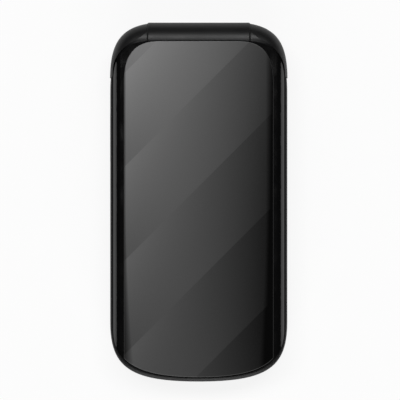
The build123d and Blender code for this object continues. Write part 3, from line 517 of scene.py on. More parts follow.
@dataclass(frozen=True)
class Metal(Finish):
    """Bare or plated metal with fine working marks, dull patches and scuffed edges."""

    name: str
    color: Color
    roughness: float = 0.28
    line: tuple[float, float, float] = (1.0, 10.0, 1.0)
    tarnish: Color = (0.20, 0.19, 0.17)

    def paint(self, graph: Graph) -> None:
        """Feed the shader.

        Args:
            graph: the material's tree.
        """
        lines = graph.noise(1.5, 5.0, graph.stretched(*self.line))
        dull = graph.rescale(graph.noise(3.0, 4.0), 0.5, 0.85, 0.0, 0.45)
        tone = graph.mix(graph.spread(lines), self.color, shade(self.color, 1.12))
        rough = graph.total(graph.spread(lines, -0.05, 0.07), graph.product(dull, 0.4), self.roughness)
        graph.coat(graph.mix(dull, tone, self.tarnish), rough, graph.relief(lines, 3.0), metallic=1.0)


@dataclass(frozen=True)
class KeyGloss(Finish):
    """Semi-gloss key plastic, polished where fingers rub it and duller round its edge."""

    name: str
    color: Color
    roughness: float = 0.26

    def paint(self, graph: Graph) -> None:
        """Feed the shader.

        Args:
            graph: the material's tree.
        """
        cloud = graph.rescale(graph.noise(4.0, 3.0), 0.35, 0.65)
        tone = graph.mix(cloud, self.color, shade(self.color, 1.15))
        tone = graph.mix(graph.product(graph.edge_wear(0.3), 0.5), tone, shade(self.color, 1.8, 0.02))
        rubbed = graph.rescale(graph.noise(5.0, 4.0), 0.35, 0.7, 0.0, 0.08)
        rough = graph.math("ADD", rubbed, self.roughness)
        graph.coat(tone, rough, graph.relief(graph.noise(0.3, 2.0), 1.5))


@dataclass(frozen=True)
class Ink(Finish):
    """Printed ink with a slightly uneven coat."""

    name: str
    color: Color
    roughness: float = 0.5

    def paint(self, graph: Graph) -> None:
        """Feed the shader.

        Args:
            graph: the material's tree.
        """
        coat = graph.spread(graph.noise(0.4, 4.0))
        rough = graph.rescale(coat, 0.0, 1.0, self.roughness + 0.1, self.roughness)
        graph.coat(graph.mix(coat, shade(self.color, 0.72), self.color), rough, graph.relief(coat, 2.0))


@dataclass(frozen=True)
class SolderMask(Finish):
    """A circuit board: tinted mask over copper lanes, with rows of plated pads."""

    name: str = "circuit_board"
    mask: Color = (0.008, 0.075, 0.035)
    over_copper: Color = (0.018, 0.13, 0.06)
    plating: Color = (0.75, 0.58, 0.28)
    lane: float = 0.4
    pad: float = 1.8

    def paint(self, graph: Graph) -> None:
        """Feed the shader.

        Args:
            graph: the material's tree.
        """
        bend = graph.product(graph.noise(6.0, 0.0), 10 * self.lane * MM)
        lanes = graph.math("PINGPONG", graph.math("ADD", graph.x, bend), self.lane * MM)
        lane = graph.rescale(lanes, 0.5 * self.lane * MM, 0.6 * self.lane * MM)
        copper = graph.product(lane, graph.rescale(graph.noise(7.0, 0.0), 0.5, 0.52))
        grid = {"Vector": graph.place, "Scale": 1 / (self.pad * MM), "Randomness": 0.0}
        pads = graph.rescale(graph.node("ShaderNodeTexVoronoi", grid).outputs["Distance"], 0.26, 0.24)
        rows = graph.rescale(graph.noise(9.0, 0.0, graph.stretched(1.0, 1.0, 0.0)), 0.56, 0.57)
        plated = graph.product(pads, rows)
        tone = graph.mix(plated, graph.mix(copper, self.mask, self.over_copper), self.plating)
        rough = graph.spread(graph.noise(2.0, 3.0), 0.28, 0.42)
        normal = graph.relief(graph.math("ADD", copper, plated), 30.0)
        graph.coat(tone, rough, normal, metallic=graph.product(plated, 0.9))


@dataclass(frozen=True)
class BatteryWrap(Finish):
    """A battery's printed wrapper: plain silver grey with a dark band and thin rules, scuffed."""

    name: str = "battery_label"
    silver: Color = (0.40, 0.41, 0.43)
    print_ink: Color = (0.05, 0.055, 0.07)
    scuffed: Color = (0.30, 0.30, 0.31)

    def paint(self, graph: Graph) -> None:
        """Feed the shader.

        Args:
            graph: the material's tree.
        """
        band = graph.box_mask((0.0, -26.0), (30.0, 4.5))
        rules = graph.rescale(graph.math("PINGPONG", graph.y, 2.0 * MM), 0.12 * MM, 0.08 * MM)
        rules = graph.product(rules, graph.box_mask((0.0, -12.0), (13.0, 7.0)))
        tone = graph.mix(graph.math("MAXIMUM", band, rules), self.silver, self.print_ink)
        scuff = graph.rescale(graph.noise(2.0, 5.0, graph.stretched(1.0, 4.0, 1.0)), 0.55, 0.75, 0.0, 0.5)
        rough = graph.rescale(scuff, 0.0, 0.5, 0.30, 0.50)
        normal = graph.relief(graph.noise(6.0, 3.0), 10.0)
        graph.coat(graph.mix(scuff, tone, self.scuffed), rough, normal, metallic=0.3)


@dataclass(frozen=True)
class Film(Finish):
    """Thin film: milky or amber, with the shine and creases of a pressed sheet."""

    name: str
    color: Color
    lane: Color
    pitch: float

    def paint(self, graph: Graph) -> None:
        """Feed the shader.

        Args:
            graph: the material's tree.
        """
        pitch = self.pitch * MM
        lanes = graph.rescale(graph.math("PINGPONG", graph.x, pitch / 2), pitch / 4, pitch / 3.4)
        crease = graph.noise(4.0, 4.0)
        tone = graph.mix(graph.product(lanes, 0.7), self.color, self.lane)
        graph.coat(tone, graph.spread(crease, 0.22, 0.38), graph.relief(crease, 20.0))


@dataclass(frozen=True)
class WovenWire(Finish):
    """Black coated woven wire, bright where it is rubbed, with painted shade in its openings."""

    name: str = "woven_wire"
    painted_opening_shade: Color = (0.002, 0.002, 0.002)
    coated: Color = (0.05, 0.05, 0.052)
    rubbed: Color = (0.30, 0.30, 0.31)

    def paint(self, graph: Graph) -> None:
        """Feed the shader.

        Args:
            graph: the material's tree.
        """
        rise = graph.node("ShaderNodeAttribute", attribute_name="rise").outputs["Fac"]
        patches = graph.rescale(graph.noise(1.2, 3.0), 0.4, 0.6)
        rubbed = graph.product(graph.rescale(rise, 0.75, 1.0), patches, 0.5)
        # The openings get a near-black colour: painted shade between the wires.
        tone = graph.mix(graph.rescale(rise, 0.1, 0.45), self.painted_opening_shade, self.coated)
        rough = graph.spread(graph.noise(0.5, 2.0), 0.3, 0.5)
        normal = graph.relief(graph.noise(0.1, 2.0), 2.0)
        graph.coat(graph.mix(rubbed, tone, self.rubbed), rough, normal, metallic=0.6)


@dataclass(frozen=True)
class RockerPlastic(Finish):
    """The volume rocker's plastic, with a plus and a minus printed near its ends."""

    middle: Pair
    name: str = "rocker_plastic"
    deep: Color = (0.010, 0.010, 0.011)
    light: Color = (0.018, 0.018, 0.019)
    white: Color = (0.5, 0.5, 0.5)
    mark_gap: float = 4.6
    arm: float = 0.55
    stroke: float = 0.11

    def paint(self, graph: Graph) -> None:
        """Feed the shader.

        A bar is 1 where the distance along it is within its arm and the distance across it within its stroke.
        The plus has a bar each way, and the minus has one.

        Args:
            graph: the material's tree.
        """
        level = graph.away(graph.z, self.middle[1])
        ends = [graph.away(graph.y, self.middle[0] + side * self.mark_gap) for side in (1, -1)]
        bars = [graph.product(graph.within(along, self.arm), graph.within(across, self.stroke))
                for along, across in ((ends[0], level), (level, ends[0]), (ends[1], level))]
        mark = reduce(partial(graph.math, "MAXIMUM"), bars)
        cloud = graph.spread(graph.noise(2.0, 3.0))
        tone = graph.mix(mark, graph.mix(cloud, self.deep, self.light), self.white)
        rough = graph.rescale(cloud, 0.0, 1.0, 0.3, 0.42)
        graph.coat(tone, rough, graph.relief(graph.noise(0.2, 2.0), 2.0))


# ---------------------------------------------------------------- surfaces
FLIPPED = [0, 3, 2, 1]
SECTION_POINTS = 16
TEXT_SEAM = 0.0002


def lattice(rows: int, columns: int, loop: bool = False, rings: bool = False) -> np.ndarray:
    """Join a grid of points by quads.

    The quad at row i and column j runs over the points (i, j), (i + 1, j), (i + 1, j + 1) and (i, j + 1).

    Args:
        rows: how many rows of points there are.
        columns: how many points a row has.
        loop: whether the last row joins the first.
        rings: whether each row's last point joins its first.

    Returns:
        The numbers of each quad's points.
    """
    numbers = np.arange(rows * columns).reshape(rows, columns)
    index = np.pad(numbers, ((0, int(loop)), (0, int(rings))), "wrap")
    return np.stack([index[:-1, :-1], index[1:, :-1], index[1:, 1:], index[:-1, 1:]], axis=-1).reshape(-1, 4)


def circle(count: int) -> np.ndarray:
    """Give points round the circle of radius 1: at angle a, the point (cos a, sin a)."""
    turn = np.linspace(0, TURN, count, endpoint=False)
    return np.stack([np.cos(turn), np.sin(turn)], axis=1)


def aside(ahead: np.ndarray) -> np.ndarray:
    """Turn directions in plan by a quarter to the left and give them length 1."""
    ahead = ahead / np.linalg.norm(ahead, axis=1)[:, None]
    return np.stack([-ahead[:, 1], ahead[:, 0]], axis=1)


@dataclass
class Surface:
    """Points with the faces between them, and a height for each point where a finish needs it."""

    points: np.ndarray
    faces: list[list[int]]
    rise: np.ndarray | None = None

    def plus(self, other: "Surface") -> "Surface":
        """Put another surface beside this one.

        Args:
            other: the surface that is added.

        Returns:
            Both as one.
        """
        shift = len(self.points)
        faces = self.faces + [[index + shift for index in face] for face in other.faces]
        rise = None if self.rise is None or other.rise is None else np.concatenate([self.rise, other.rise])
        return Surface(np.concatenate([self.points, other.points]), faces, rise)

    def piece(
        self, name: str, material: bpy.types.Material, body: str, slot: str, smooth: bool = True
    ) -> bpy.types.Object:
        """Make the object, with its place in its mesh, and hang it on its body.

        Args:
            name: the object's name.
            material: its finish.
            body: the body that it rides on.
            slot: the record's slot that the finish belongs to; it is not used.
            smooth: whether it is shaded smooth.

        Returns:
            The new object.
        """
        mesh = bpy.data.meshes.new(name)
        mesh.from_pydata(self.points.tolist(), [], self.faces)
        mesh.polygons.foreach_set("use_smooth", [smooth] * len(mesh.polygons))
        if self.rise is not None:
            heights = mesh.attributes.new("rise", "FLOAT", "POINT")
            heights.data.foreach_set("value", self.rise.astype(np.float32))
        mesh.update()
        mesh.materials.append(material)
        piece = bpy.data.objects.new(name, mesh)
        bpy.context.scene.collection.objects.link(piece)
        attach(piece, body)
        log.info("%s: %d points, rides on %s", name, len(self.points), body)
        return piece


def skin(rings: np.ndarray) -> Surface:
    """Close a stack of rings into one solid skin.

    Each ring is a closed loop. Neighbouring rings are joined by quads, and the first and last are closed by
    triangles to the mean of their points. Faces look outwards where the cross product of the loop's direction
    and the stack's does.

    Args:
        rings: points as rings, loop places and coordinates.

    Returns:
        The closed surface.
    """
    count, around = rings.shape[:2]
    quads = lattice(count, around, rings=True)[:, FLIPPED]
    rim = np.arange(around)
    ahead = np.roll(rim, -1)
    first, last, shift = count * around, count * around + 1, (count - 1) * around
    bottom = np.stack([np.full(around, first), ahead, rim], axis=-1)
    top = np.stack([np.full(around, last), rim + shift, ahead + shift], axis=-1)
    poles = np.stack([rings[0].mean(axis=0), rings[-1].mean(axis=0)])
    points = np.concatenate([rings.reshape(-1, 3), poles])
    return Surface(points, quads.tolist() + bottom.tolist() + top.tolist())


def crowned(outline: np.ndarray, centre: Pair, foot: float, height: float, crown: float) -> Surface:
    """Raise an outline into a low mark with a soft rim and a crowned top.

    Ring k shrinks the outline towards its centre by a share t, from 1 at the rim to 0, and stands at
    foot + height (1 - t^6) + crown (1 - t^2), after one ring a fifth of the height below the foot.

    Args:
        outline: plan points round the mark, anticlockwise, in metres from its centre.
        centre: where its centre lies in plan.
        foot: the height of what it stands on.
        height: how far its rim rises.
        crown: how much more its middle rises.

    Returns:
        The closed mark.
    """
    share = np.concatenate([[1.0], np.cos(np.linspace(0, math.pi / 2, 9))[:-1]])
    rise = height * (1 - share**6) + crown * (1 - share**2)
    rise[0] = -0.2 * height
    rings = np.empty((len(share), len(outline), 3))
    rings[:, :, :2] = share[:, None, None] * outline[None] + np.array(centre)
    rings[:, :, 2] = foot + rise[:, None]
    return skin(rings)


def swept(path: np.ndarray, half_width: np.ndarray, foot: float, height: float) -> Surface:
    """Carry a low rounded section along a path in plan.

    The section is a flattened ellipse, whose cosine is raised to the power 0.8 to fill its sides. Its half
    width is given at each step of the path, so that the stroke can swell and taper. It stands half sunk, with
    its top at foot + height.

    Args:
        path: plan points, in metres.
        half_width: the stroke's half width at each of them.
        foot: the height of what it lies on.
        height: how far it rises.

    Returns:
        The closed stroke.
    """
    out, up = circle(SECTION_POINTS).T
    out = np.sign(out) * np.abs(out) ** 0.8
    rings = np.empty((len(path), len(out), 3))
    reach = half_width[:, None] * out[None]
    rings[:, :, :2] = path[:, None] + aside(np.gradient(path, axis=0))[:, None] * reach[:, :, None]
    rings[:, :, 2] = foot + height * up[None]
    return skin(rings)


def looped(path: np.ndarray, half_width: float, foot: float, height: float) -> Surface:
    """Carry a low elliptic section round a closed path, such as a ring's.

    Args:
        path: plan points round the loop, without a repeat of the first.
        half_width: the stroke's half width.
        foot: the height of what it lies on.
        height: how far it rises.

    Returns:
        The closed ring.
    """
    out, up = circle(SECTION_POINTS).T
    outwards = -aside(np.roll(path, -1, axis=0) - np.roll(path, 1, axis=0))
    rings = np.empty((len(path), len(out), 3))
    rings[:, :, :2] = path[:, None] + outwards[:, None] * (half_width * out)[None, :, None]
    rings[:, :, 2] = foot + height * up[None]
    return Surface(rings.reshape(-1, 3), lattice(len(path), len(out), loop=True, rings=True).tolist())


def rounded_polygon(sides: int, inradius: float, turned: float, sharpness: float) -> np.ndarray:
    """Outline a regular polygon with soft corners.

    At angle a the radius is the inradius over the p-norm of the cosines between a and each side's direction.

    Args:
        sides: how many sides it has.
        inradius: its centre to the middle of a side, in metres.
        turned: the direction of its first corner, in radians.
        sharpness: the norm's power, which sets how sharp the corners are.

    Returns:
        Plan points, anticlockwise.
    """
    angle = np.linspace(0, TURN, 60, endpoint=False)
    facing = turned + math.pi / sides + np.arange(sides) * TURN / sides
    reach = np.maximum(np.cos(angle[:, None] - facing[None]), 0.0) ** sharpness
    radius = inradius / reach.sum(axis=1) ** (1 / sharpness)
    return radius[:, None] * circle(len(angle))


def woven(low: Pair, high: Pair, level: float, depth: float, pitch: float) -> Surface:
    """Weave a flat strip of wire cloth that looks downwards or upwards.

    A warp wire is 0.68 of the pitch wide. Its height is 0.45, plus 0.25 of the half circle of its section,
    plus 0.3 of a wave along it that swaps sides at each crossing. The weft is the same at right angles and
    half a wave out. The upper of the two shows.

    Args:
        low: the strip's lowest corner in plan.
        high: its highest corner.
        level: the height of the cloth's openings, a tenth of the depth in front of its back.
        depth: how far the wires stand from the openings; below zero the cloth looks down.
        pitch: the distance between wires.

    Returns:
        The closed strip, with each point's rise from 0 to 1.
    """
    steps = [max(8, int(round(6 * (end - start) / pitch))) for start, end in zip(low, high)]
    sides = (np.linspace(start, end, count + 1) for start, end, count in zip(low, high, steps))
    x, y = np.meshgrid(*sides, indexing="ij")
    wires = []
    for across, along, phase in ((x, y, 0.0), (y, x, math.pi)):
        wire = np.round(across / pitch)
        off = np.abs(across / pitch - wire) / 0.34
        body = np.sqrt(np.maximum(0.0, 1 - off**2))
        wave = 0.5 + 0.5 * np.cos(math.pi * along / pitch + math.pi * wire + phase)
        wires.append(np.where(off < 1, 0.45 + 0.25 * body + 0.3 * wave, 0.0))
    rise = np.maximum(*wires)
    face = lattice(*rise.shape)
    under = face[:, ::-1] + rise.size
    index = np.arange(rise.size).reshape(rise.shape)
    rim = np.concatenate([index[:-1, 0], index[-1, :-1], index[:0:-1, -1], index[0, :0:-1]])
    ahead = np.roll(rim, -1)
    wall = np.stack([rim + rise.size, ahead + rise.size, ahead, rim], axis=-1)
    top = np.stack([x, y, level + depth * rise], axis=-1).reshape(-1, 3)
    base = np.stack([x, y, np.full_like(x, level - 0.1 * depth)], axis=-1).reshape(-1, 3)
    faces = np.concatenate([face, under, wall])
    if depth < 0:
        faces = faces[:, ::-1]
    heights = np.concatenate([rise.ravel(), np.zeros(rise.size)])
    return Surface(np.concatenate([top, base]), faces.tolist(), heights)


def type_set(words: str) -> Surface:
    """Make a text a closed mesh, set at size 1 and 1 thick, where its own line puts it.

    Args:
        words: the digits, letters or sign.

    Returns:
        The mesh.
    """
    curve = bpy.data.curves.new("mark", "FONT")
    curve.body, curve.size, curve.extrude, curve.resolution_u = words, 1.0, 0.5, 4
    holder = bpy.data.objects.new("mark", curve)
    bpy.context.scene.collection.objects.link(holder)
    shown = holder.evaluated_get(bpy.context.evaluated_depsgraph_get())
    mesh = bpy.data.meshes.new_from_object(shown)
    joined = bmesh.new()
    joined.from_mesh(mesh)
    bmesh.ops.remove_doubles(joined, verts=joined.verts[:], dist=TEXT_SEAM)
    bmesh.ops.dissolve_degenerate(joined, edges=joined.edges[:], dist=TEXT_SEAM)
    joined.to_mesh(mesh)
    joined.free()
    flat = np.empty(3 * len(mesh.vertices))
    mesh.vertices.foreach_get("co", flat)
    faces = [list(face.vertices) for face in mesh.polygons]
    bpy.data.objects.remove(holder)
    bpy.data.meshes.remove(mesh)
    bpy.data.curves.remove(curve)
    return Surface(flat.reshape(-1, 3), faces)


def lettering(words: str, height: float, middle: Pair, foot: float, thick: float, like: str = "") -> Surface:
    """Set a short printed mark as a thin raised film.

    The text is scaled so that it, or the letter whose height it takes, is as high as asked, and then its
    middle across and that height's middle along are moved to the place.

    Args:
        words: the digits, letters or sign.
        height: the mark's height in metres.
        middle: where its middle lies in plan.
        foot: the height of the face that it is printed on.
        thick: how far the film stands up.
        like: the letter whose height counts, or nothing for the mark's own.

    Returns:
        The film.
    """
    text = type_set(words)
    x, y = text.points[:, 0], (type_set(like) if like else text).points[:, 1]
    scale = height / np.ptp(y)
    centre = np.array([(x.min() + x.max()) / 2, (y.min() + y.max()) / 2, 0.0])
    points = (text.points - centre) * np.array([scale, scale, thick])
    return Surface(points + np.array([*middle, foot + thick / 2]), text.faces)


# ---------------------------------------------------------------- the phone
@dataclass
class Finishes:
    """Every material that more than one sub-assembly uses, by the record's slot."""

    made: dict[str, bpy.types.Material] = field(default_factory=dict)

    def build(self) -> None:
        """Make them all."""
        recipes = (
            MouldedPlastic("satin_shell", (0.0065, 0.0065, 0.0068), 0.42, level=0.28),
            MouldedPlastic("lid_gloss", (0.0015, 0.0015, 0.0016), 0.1, depth=0.8),
            MouldedPlastic("cover_plastic", (0.011, 0.011, 0.012), 0.46, 0.4, 6.0, Wear.FAIR),
            PanelPrintAndPaintedLight(),
            BrushedLacquer("key_metal", (0.10, 0.10, 0.106)),
            KeyGloss("key_plastic", (0.022, 0.022, 0.024)),
            MouldedPlastic("soft_rubber", (0.017, 0.017, 0.017), 0.78, 0.3, 10.0, Wear.NONE),
            MouldedPlastic("module_black", (0.02, 0.02, 0.02), 0.5, 0.3, 5.0),
            Metal("display", (0.35, 0.36, 0.38), 0.2),
            BatteryWrap(),
            Metal("gold_contact", (0.83, 0.62, 0.27), 0.2, tarnish=(0.45, 0.30, 0.10)),
            Metal("screw_steel", (0.50, 0.50, 0.51), 0.3),
            Metal("shield_tin", (0.62, 0.61, 0.58), 0.3),
            Metal("heavy_metal", (0.30, 0.30, 0.30), 0.45),
            Metal("magnet_metal", (0.55, 0.54, 0.52), 0.18),
            Metal("hinge_steel", (0.50, 0.50, 0.50), 0.25, (10.0, 1.0, 1.0)),
            SolderMask(),
            Film("clear_film", (0.55, 0.55, 0.52), (0.68, 0.68, 0.66), 4.6),
            Film("flex_film", (0.30, 0.11, 0.015), (0.55, 0.27, 0.06), 0.6),
        )
        for recipe in recipes:
            self.made[recipe.name] = recipe.build()
            log.info("finish %s", recipe.name)


def plan_centre(node: str) -> Pair:
    """Give the middle of a node's box in plan, in metres."""
    low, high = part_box(node)
    return ((low.x + high.x) / 2, (low.y + high.y) / 2)


def crest(node: str) -> float:
    """Give the height of a node's highest point, in metres."""
    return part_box(node)[1].z


def rounded_end(reach: np.ndarray, start: float, length: float) -> np.ndarray:
    """Taper a stroke's ends.

    Where the share s of the way from the middle passes the start, the width follows the quarter ellipse
    sqrt(1 - ((s - start) / length)^2), held above a seventh.

    Args:
        reach: places from -1 to 1 along the stroke.
        start: the share where the taper starts.
        length: how long the quarter ellipse is.

    Returns:
        The width's share at each place.
    """
    past = np.maximum(0, (np.abs(reach) - start) / length)
    return np.sqrt(np.clip(1 - past**2, 0.02, 1))


class Sign(Enum):
    """The handset signs: the call sign lies open side up, the end sign open side down."""

    CALL = 1
    END = -1


@dataclass
class Keypad:
    """The marks on the keys, and the trim round the direction ring."""

    finishes: Finishes
    film: float = 0.02 * MM
    digit_height: float = 3.9 * MM
    star_share: float = 0.62
    hash_share: float = 0.86
    letter_height: float = 1.2 * MM
    digit_shift: float = 2.7 * MM
    letter_shift: float = 2.8 * MM
    arrow_out: float = 7.7 * MM
    arrow_size: float = 0.62 * MM
    arrow_rise: float = 0.03 * MM
    arrow_crown: float = 0.02 * MM
    nib_radius: float = 0.42 * MM
    nib_rise: float = 0.08 * MM
    nib_inset: float = 1.5 * MM
    sign_radius: float = 2.7 * MM
    sign_stroke: float = 0.42 * MM
    sign_rise: float = 0.05 * MM
    bar_reach: float = 1.9 * MM
    bar_half: float = 0.3 * MM
    dot_radius: float = 1.25 * MM
    dot_half: float = 0.17 * MM
    mark_rise: float = 0.04 * MM
    trim_radius: float = 10.85 * MM
    trim_half: float = 0.22 * MM
    trim_rise: float = 0.09 * MM

    def number_marks(self, ink: bpy.types.Material) -> None:
        """Print each number key's digit, and its letters where it has them.

        Args:
            ink: the finish of the print.
        """
        groups = dict(zip("234567890", ("ABC", "DEF", "GHI", "JKL", "MNO", "PQRS", "TUV", "WXYZ", "+")))
        signs = {"star": ("*", self.star_share), "hash": ("#", self.hash_share)}
        for key in [*"1234567890", "star", "hash"]:
            node = f"key_{key}"
            x, y = plan_centre(node)
            text, share = signs.get(key, (key, 1.0))
            letters = groups.get(key)
            place = (x - self.digit_shift if letters else x, y)
            mark = lettering(text, self.digit_height * share, place, crest(node), self.film)
            if letters:
                like = "" if letters == "+" else "H"
                place = (x + self.letter_shift, y)
                mark = mark.plus(lettering(letters, self.letter_height, place, crest(node), self.film, like))
            mark.piece(f"{node}_mark", ink, node, "key_plastic", smooth=False)

    def nib(self) -> None:
        """Raise the small rib that fingers find on key 5."""
        outline = rounded_polygon(12, self.nib_radius, 0.0, 6.0)
        place = (plan_centre("key_5")[0] - self.digit_shift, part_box("key_5")[0].y + self.nib_inset)
        rib = crowned(outline, place, crest("key_5"), self.nib_rise, self.nib_rise)
        rib.piece("key_5_nib", self.finishes.made["key_plastic"], "key_5", "key_plastic")

    def handset(self, node: str, sign: Sign, ink: bpy.types.Material) -> None:
        """Raise a handset sign: an arc whose stroke swells into a lobe at each end.

        The arc runs 0.95 radians each way. The lobe is the logistic curve of the share of the way out, which
        passes its middle at 0.72.

        Args:
            node: the key that it stands on.
            sign: which way it lies.
            ink: its finish.
        """
        x, y = plan_centre(node)
        along = np.linspace(-1, 1, 41)
        bow = 0.95 * along * sign.value
        path = self.sign_radius * np.stack([np.sin(bow), -sign.value * np.cos(bow)], axis=1)
        path += np.array([x, y + sign.value * 0.75 * self.sign_radius])
        lobe = 1 / (1 + np.exp(-28 * (np.abs(along) - 0.72)))
        width = self.sign_stroke * (0.75 + 0.95 * lobe) * rounded_end(along, 0.93, 0.08)
        swept(path, width, crest(node), self.sign_rise).piece(f"{node}_mark", ink, node, "key_plastic")

    def side_marks(self, ink: bpy.types.Material) -> None:
        """Raise a short bar on each soft key, an arrow on each direction key and a ring on the middle one.

        Args:
            ink: the finish of the marks.
        """
        for node in ("soft_left_key", "soft_right_key"):
            x, y = plan_centre(node)
            reach = np.linspace(-1, 1, 25)
            path = np.stack([x + self.bar_reach * reach, np.full_like(reach, y)], axis=1)
            bar = swept(path, self.bar_half * rounded_end(reach, 0.86, 0.15), crest(node), self.mark_rise)
            bar.piece(f"{node}_mark", ink, node, "key_plastic")
        x, y = plan_centre("ok_key")
        for quarter, name in enumerate(("right", "up", "left", "down")):
            turn = quarter * math.pi / 2
            centre = (x + self.arrow_out * math.cos(turn), y + self.arrow_out * math.sin(turn))
            node = f"nav_{name}_key"
            outline = rounded_polygon(3, self.arrow_size, turn, 14.0)
            arrow = crowned(outline, centre, crest(node), self.arrow_rise, self.arrow_crown)
            arrow.piece(f"{node}_mark", ink, node, "key_plastic")
        ring = np.array([x, y]) + self.dot_radius * circle(72)
        dot = looped(ring, self.dot_half, crest("ok_key"), self.mark_rise)
        dot.piece("ok_key_mark", ink, "ok_key", "key_plastic")

    def trim(self) -> None:
        """Lay the bright ring round the direction keys on the plate's face."""
        ring = np.array(plan_centre("ok_key")) + self.trim_radius * circle(144)
        bright = Metal("trim_chrome", (0.46, 0.46, 0.47), 0.3).build()
        band = looped(ring, self.trim_half, crest("key_plate"), self.trim_rise)
        band.piece("direction_trim", bright, "base", "key_metal")

    def build(self) -> None:
        """Make every mark, the rib and the trim."""
        white = Ink("white_ink", (0.62, 0.63, 0.64)).build()
        self.number_marks(white)
        self.nib()
        self.handset("call_key", Sign.CALL, Ink("green_ink", (0.05, 0.42, 0.09)).build())
        self.handset("end_key", Sign.END, Ink("red_ink", (0.52, 0.03, 0.025)).build())
        self.side_marks(white)
        self.trim()


@dataclass
class Grilles:
    """The wire cloth in front of the earpiece and behind the loudspeaker's slots."""

    pitch: float = 0.32 * MM
    slot_count: int = 5
    slot_pitch: float = 2.0 * MM
    slot_length: float = 6.9 * MM
    slot_width: float = 0.82 * MM
    slot_level: float = 1.55 * MM
    wire: float = 0.16 * MM
    ear_level: float = 0.144 * MM
    ear_wire: float = 0.136 * MM

    def build(self) -> None:
        """Weave both."""
        material = WovenWire().build()
        low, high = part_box("earpiece_mesh")
        cloth = woven(low[:2], high[:2], low.z + self.ear_level, -self.ear_wire, self.pitch)
        ear = cloth.piece("earpiece_cloth", material, "lid", "shield_tin")
        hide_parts("earpiece_mesh")
        x, y = plan_centre("loudspeaker")
        half = (self.slot_length / 2, self.slot_width / 2)
        strips = []
        for number in range(self.slot_count):
            middle = (x, y + (number - (self.slot_count - 1) / 2) * self.slot_pitch)
            low, high = np.subtract(middle, half), np.add(middle, half)
            strips.append(woven(low, high, self.slot_level, -self.wire, self.pitch))
        reduce(Surface.plus, strips).piece("loudspeaker_cloth", material, "base", "shield_tin")


@dataclass
class HingeSeamShadeWashers:
    """Thin dark slip washers put into the seams at both ends of the hinge barrel, where they stand in for the
    seams' shade.
    """

    finishes: Finishes
    outer: float = 4.86 * MM
    inner: float = 3.46 * MM
    play: float = 0.015 * MM
    thick: float = 0.11 * MM
    cut: float = 0.022 * MM

    def washer(self, side: int) -> Surface:
        """Turn one washer about the hinge's axis.

        The section is a rectangle with its corners cut. The point at angle t and radius r is the axis plus
        (r cos t, r sin t) across the axis.

        Args:
            side: 1 for the end at +X, -1 for the other.

        Returns:
            The closed washer.
        """
        low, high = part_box("hinge_sleeve")
        axis = np.array([low.y + high.y, low.z + high.z]) / 2
        rise = np.array([0.0, self.cut, self.thick - self.cut, self.thick])
        out = np.concatenate([rise, rise[::-1]])
        edge = np.array([self.cut, 0.0, 0.0, self.cut])
        reach = np.concatenate([self.outer - edge, self.inner + edge])
        turned = circle(120)
        points = np.empty((len(turned), len(out), 3))
        points[:, :, 0] = side * (high.x + self.play + out)[None]
        points[:, :, 1:] = axis + turned[:, None] * reach[None, :, None]
        quads = lattice(len(turned), len(out), loop=True, rings=True)
        return Surface(points.reshape(-1, 3), (quads[:, FLIPPED] if side < 0 else quads).tolist())

    def build(self) -> None:
        """Make both."""
        both = self.washer(-1).plus(self.washer(1))
        # The washers are dark pieces that darken the seams as painted shade.
        both.piece("hinge_washers", self.finishes.made["soft_rubber"], "lid", "soft_rubber", smooth=False)


@dataclass
class Body:
    """The nodes, which keep their own shape and get their finish here."""

    finishes: Finishes
    frame: dict[str, Any]
    window_margin: Pair = (3.0, 7.5)

    def build(self) -> None:
        """Dress each node by its slot, or in the finish of its own that a few have."""
        slots = {part["node"]: part["material_slot"] for part in self.frame["record"]["subparts"]}
        screen = tuple(value / MM for value in plan_centre("display_module"))
        lens = tuple(value / MM for value in plan_centre("camera_window"))
        low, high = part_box("display_window")
        half = (high - low) / 2 / MM
        view = (half.x - self.window_margin[0], half.y - self.window_margin[1])
        low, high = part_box("volume_rocker")
        middle = (low + high) / 2 / MM
        own = {
            "lid_outer_shell": self.finishes.made["lid_gloss"],
            "display_window": ScreenWindow(screen, view).build(),
            "camera_window": LensWindow(lens).build(),
            "volume_rocker": RockerPlastic((middle.y, middle.z)).build(),
        }
        for name, node in self.frame["nodes"].items():
            material = own.get(name) or self.finishes.made[slots[name]]
            for place in node.material_slots:
                place.material = material
            log.info("%s: dressed in %s", name, material.name)


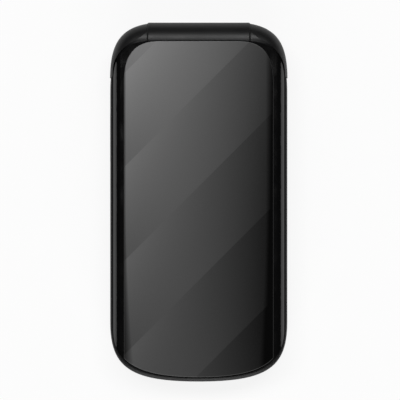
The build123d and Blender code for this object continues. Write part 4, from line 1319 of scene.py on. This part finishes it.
# ---------------------------------------------------------------- the studio
@dataclass
class Studio:
    """A pale floor, soft lamps and the camera straight above."""

    lens: float = 300.0
    height: float = 0.988
    aim: Pair = (0.000365, 0.00069)
    sensor: float = 36.0
    clip: Pair = (0.05, 50.0)
    floor_size: float = 6.0
    floor_drop: float = 0.02 * MM
    paper: tuple[Color, Color] = ((0.90, 0.90, 0.90), (0.92, 0.92, 0.92))
    near: float = 0.07
    far: float = 0.6
    near_share: float = 0.85
    mirrored_share: float = 0.3
    dim: float = 0.035
    lamps: tuple[tuple[str, tuple[float, float, float], Pair, float], ...] = (
        ("hinge_side", (-0.05, 0.48, 1.45), (1.3, 0.3), 17.5),
        ("foot_side", (0.0, -1.48, 0.68), (1.7, 1.1), 19.0),
    )

    def floor(self) -> None:
        """Lay the floor: a pale matt sheet that fades into a plain white surround away from the phone."""
        steps = np.linspace(-self.floor_size / 2, self.floor_size / 2, 9)
        x, y = np.meshgrid(steps, steps, indexing="ij")
        points = np.stack([x, y, np.full_like(x, -self.floor_drop)], axis=-1).reshape(-1, 3)
        mesh = bpy.data.meshes.new("floor")
        mesh.from_pydata(points.tolist(), [], lattice(*x.shape).tolist())
        ground = bpy.data.objects.new("floor", mesh)
        bpy.context.scene.collection.objects.link(ground)
        graph = Graph("pale_floor")
        paper = graph.mix(graph.spread(graph.noise(10.0, 3.0)), *self.paper)
        graph.put(graph.shader.inputs["Base Color"], paper)
        graph.shader.inputs["Roughness"].default_value = 0.9
        graph.shader.inputs["Specular IOR Level"].default_value = 0.0
        path = graph.node("ShaderNodeLightPath").outputs
        out = graph.radius((0.0, 0.0))
        white = graph.node("ShaderNodeEmission", {"Color": (1.0, 1.0, 1.0), "Strength": 1.0}).outputs[0]
        straight = graph.math("MAXIMUM", path["Is Camera Ray"], path["Is Transmission Ray"])
        share = graph.math("MAXIMUM", *(
            graph.product(seen, graph.rescale(out, self.near, self.far, nearest, 1.0))
            for seen, nearest in ((straight, self.near_share), (path["Is Glossy Ray"], self.mirrored_share))
        ))
        matt = graph.shader.outputs["BSDF"]
        mixed = graph.node("ShaderNodeMixShader", {0: share, 1: matt, 2: white}).outputs[0]
        graph.put(graph.output.inputs["Surface"], mixed)
        mesh.materials.append(graph.material)

    def lights(self) -> None:
        """Hang the soft lamps, each aimed at the phone, over a dim even surround."""
        for name, place, size, power in self.lamps:
            data = bpy.data.lights.new(name, "AREA")
            data.shape, data.size, data.size_y, data.energy = "RECTANGLE", size[0], size[1], power
            lamp = bpy.data.objects.new(name, data)
            lamp.location = place
            lamp.rotation_mode = "QUATERNION"
            lamp.rotation_quaternion = (-Vector(place)).to_track_quat("-Z", "Y")
            bpy.context.scene.collection.objects.link(lamp)
        world = bpy.data.worlds.new("studio")
        world.use_nodes = True
        surround = world.node_tree.nodes["Background"].inputs
        surround["Color"].default_value = (1.0, 1.0, 1.0, 1.0)
        surround["Strength"].default_value = self.dim
        bpy.context.scene.world = world

    def camera(self) -> None:
        """Set the camera straight above, with the hinge at the top of the picture."""
        data = bpy.data.cameras.new("camera")
        data.lens, data.sensor_width = self.lens, self.sensor
        data.clip_start, data.clip_end = self.clip
        camera = bpy.data.objects.new("camera", data)
        camera.location = (*self.aim, self.height)
        bpy.context.scene.collection.objects.link(camera)
        bpy.context.scene.camera = camera

    def build(self) -> None:
        """Make the studio."""
        self.floor()
        self.lights()
        self.camera()
        bpy.context.scene.view_settings.view_transform = "Standard"


def main() -> None:
    """Load the frame, dress it, add its marks, grilles and hinge washers, and make the studio."""
    logging.basicConfig(level=logging.INFO, format="%(message)s")
    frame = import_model()
    finishes = Finishes()
    finishes.build()
    Body(finishes, frame).build()
    Keypad(finishes).build()
    Grilles().build()
    HingeSeamShadeWashers(finishes).build()
    Studio().build()
    log.info("box kept for %d nodes", len(frame["nodes"]))


if __name__ == "__main__":
    main()
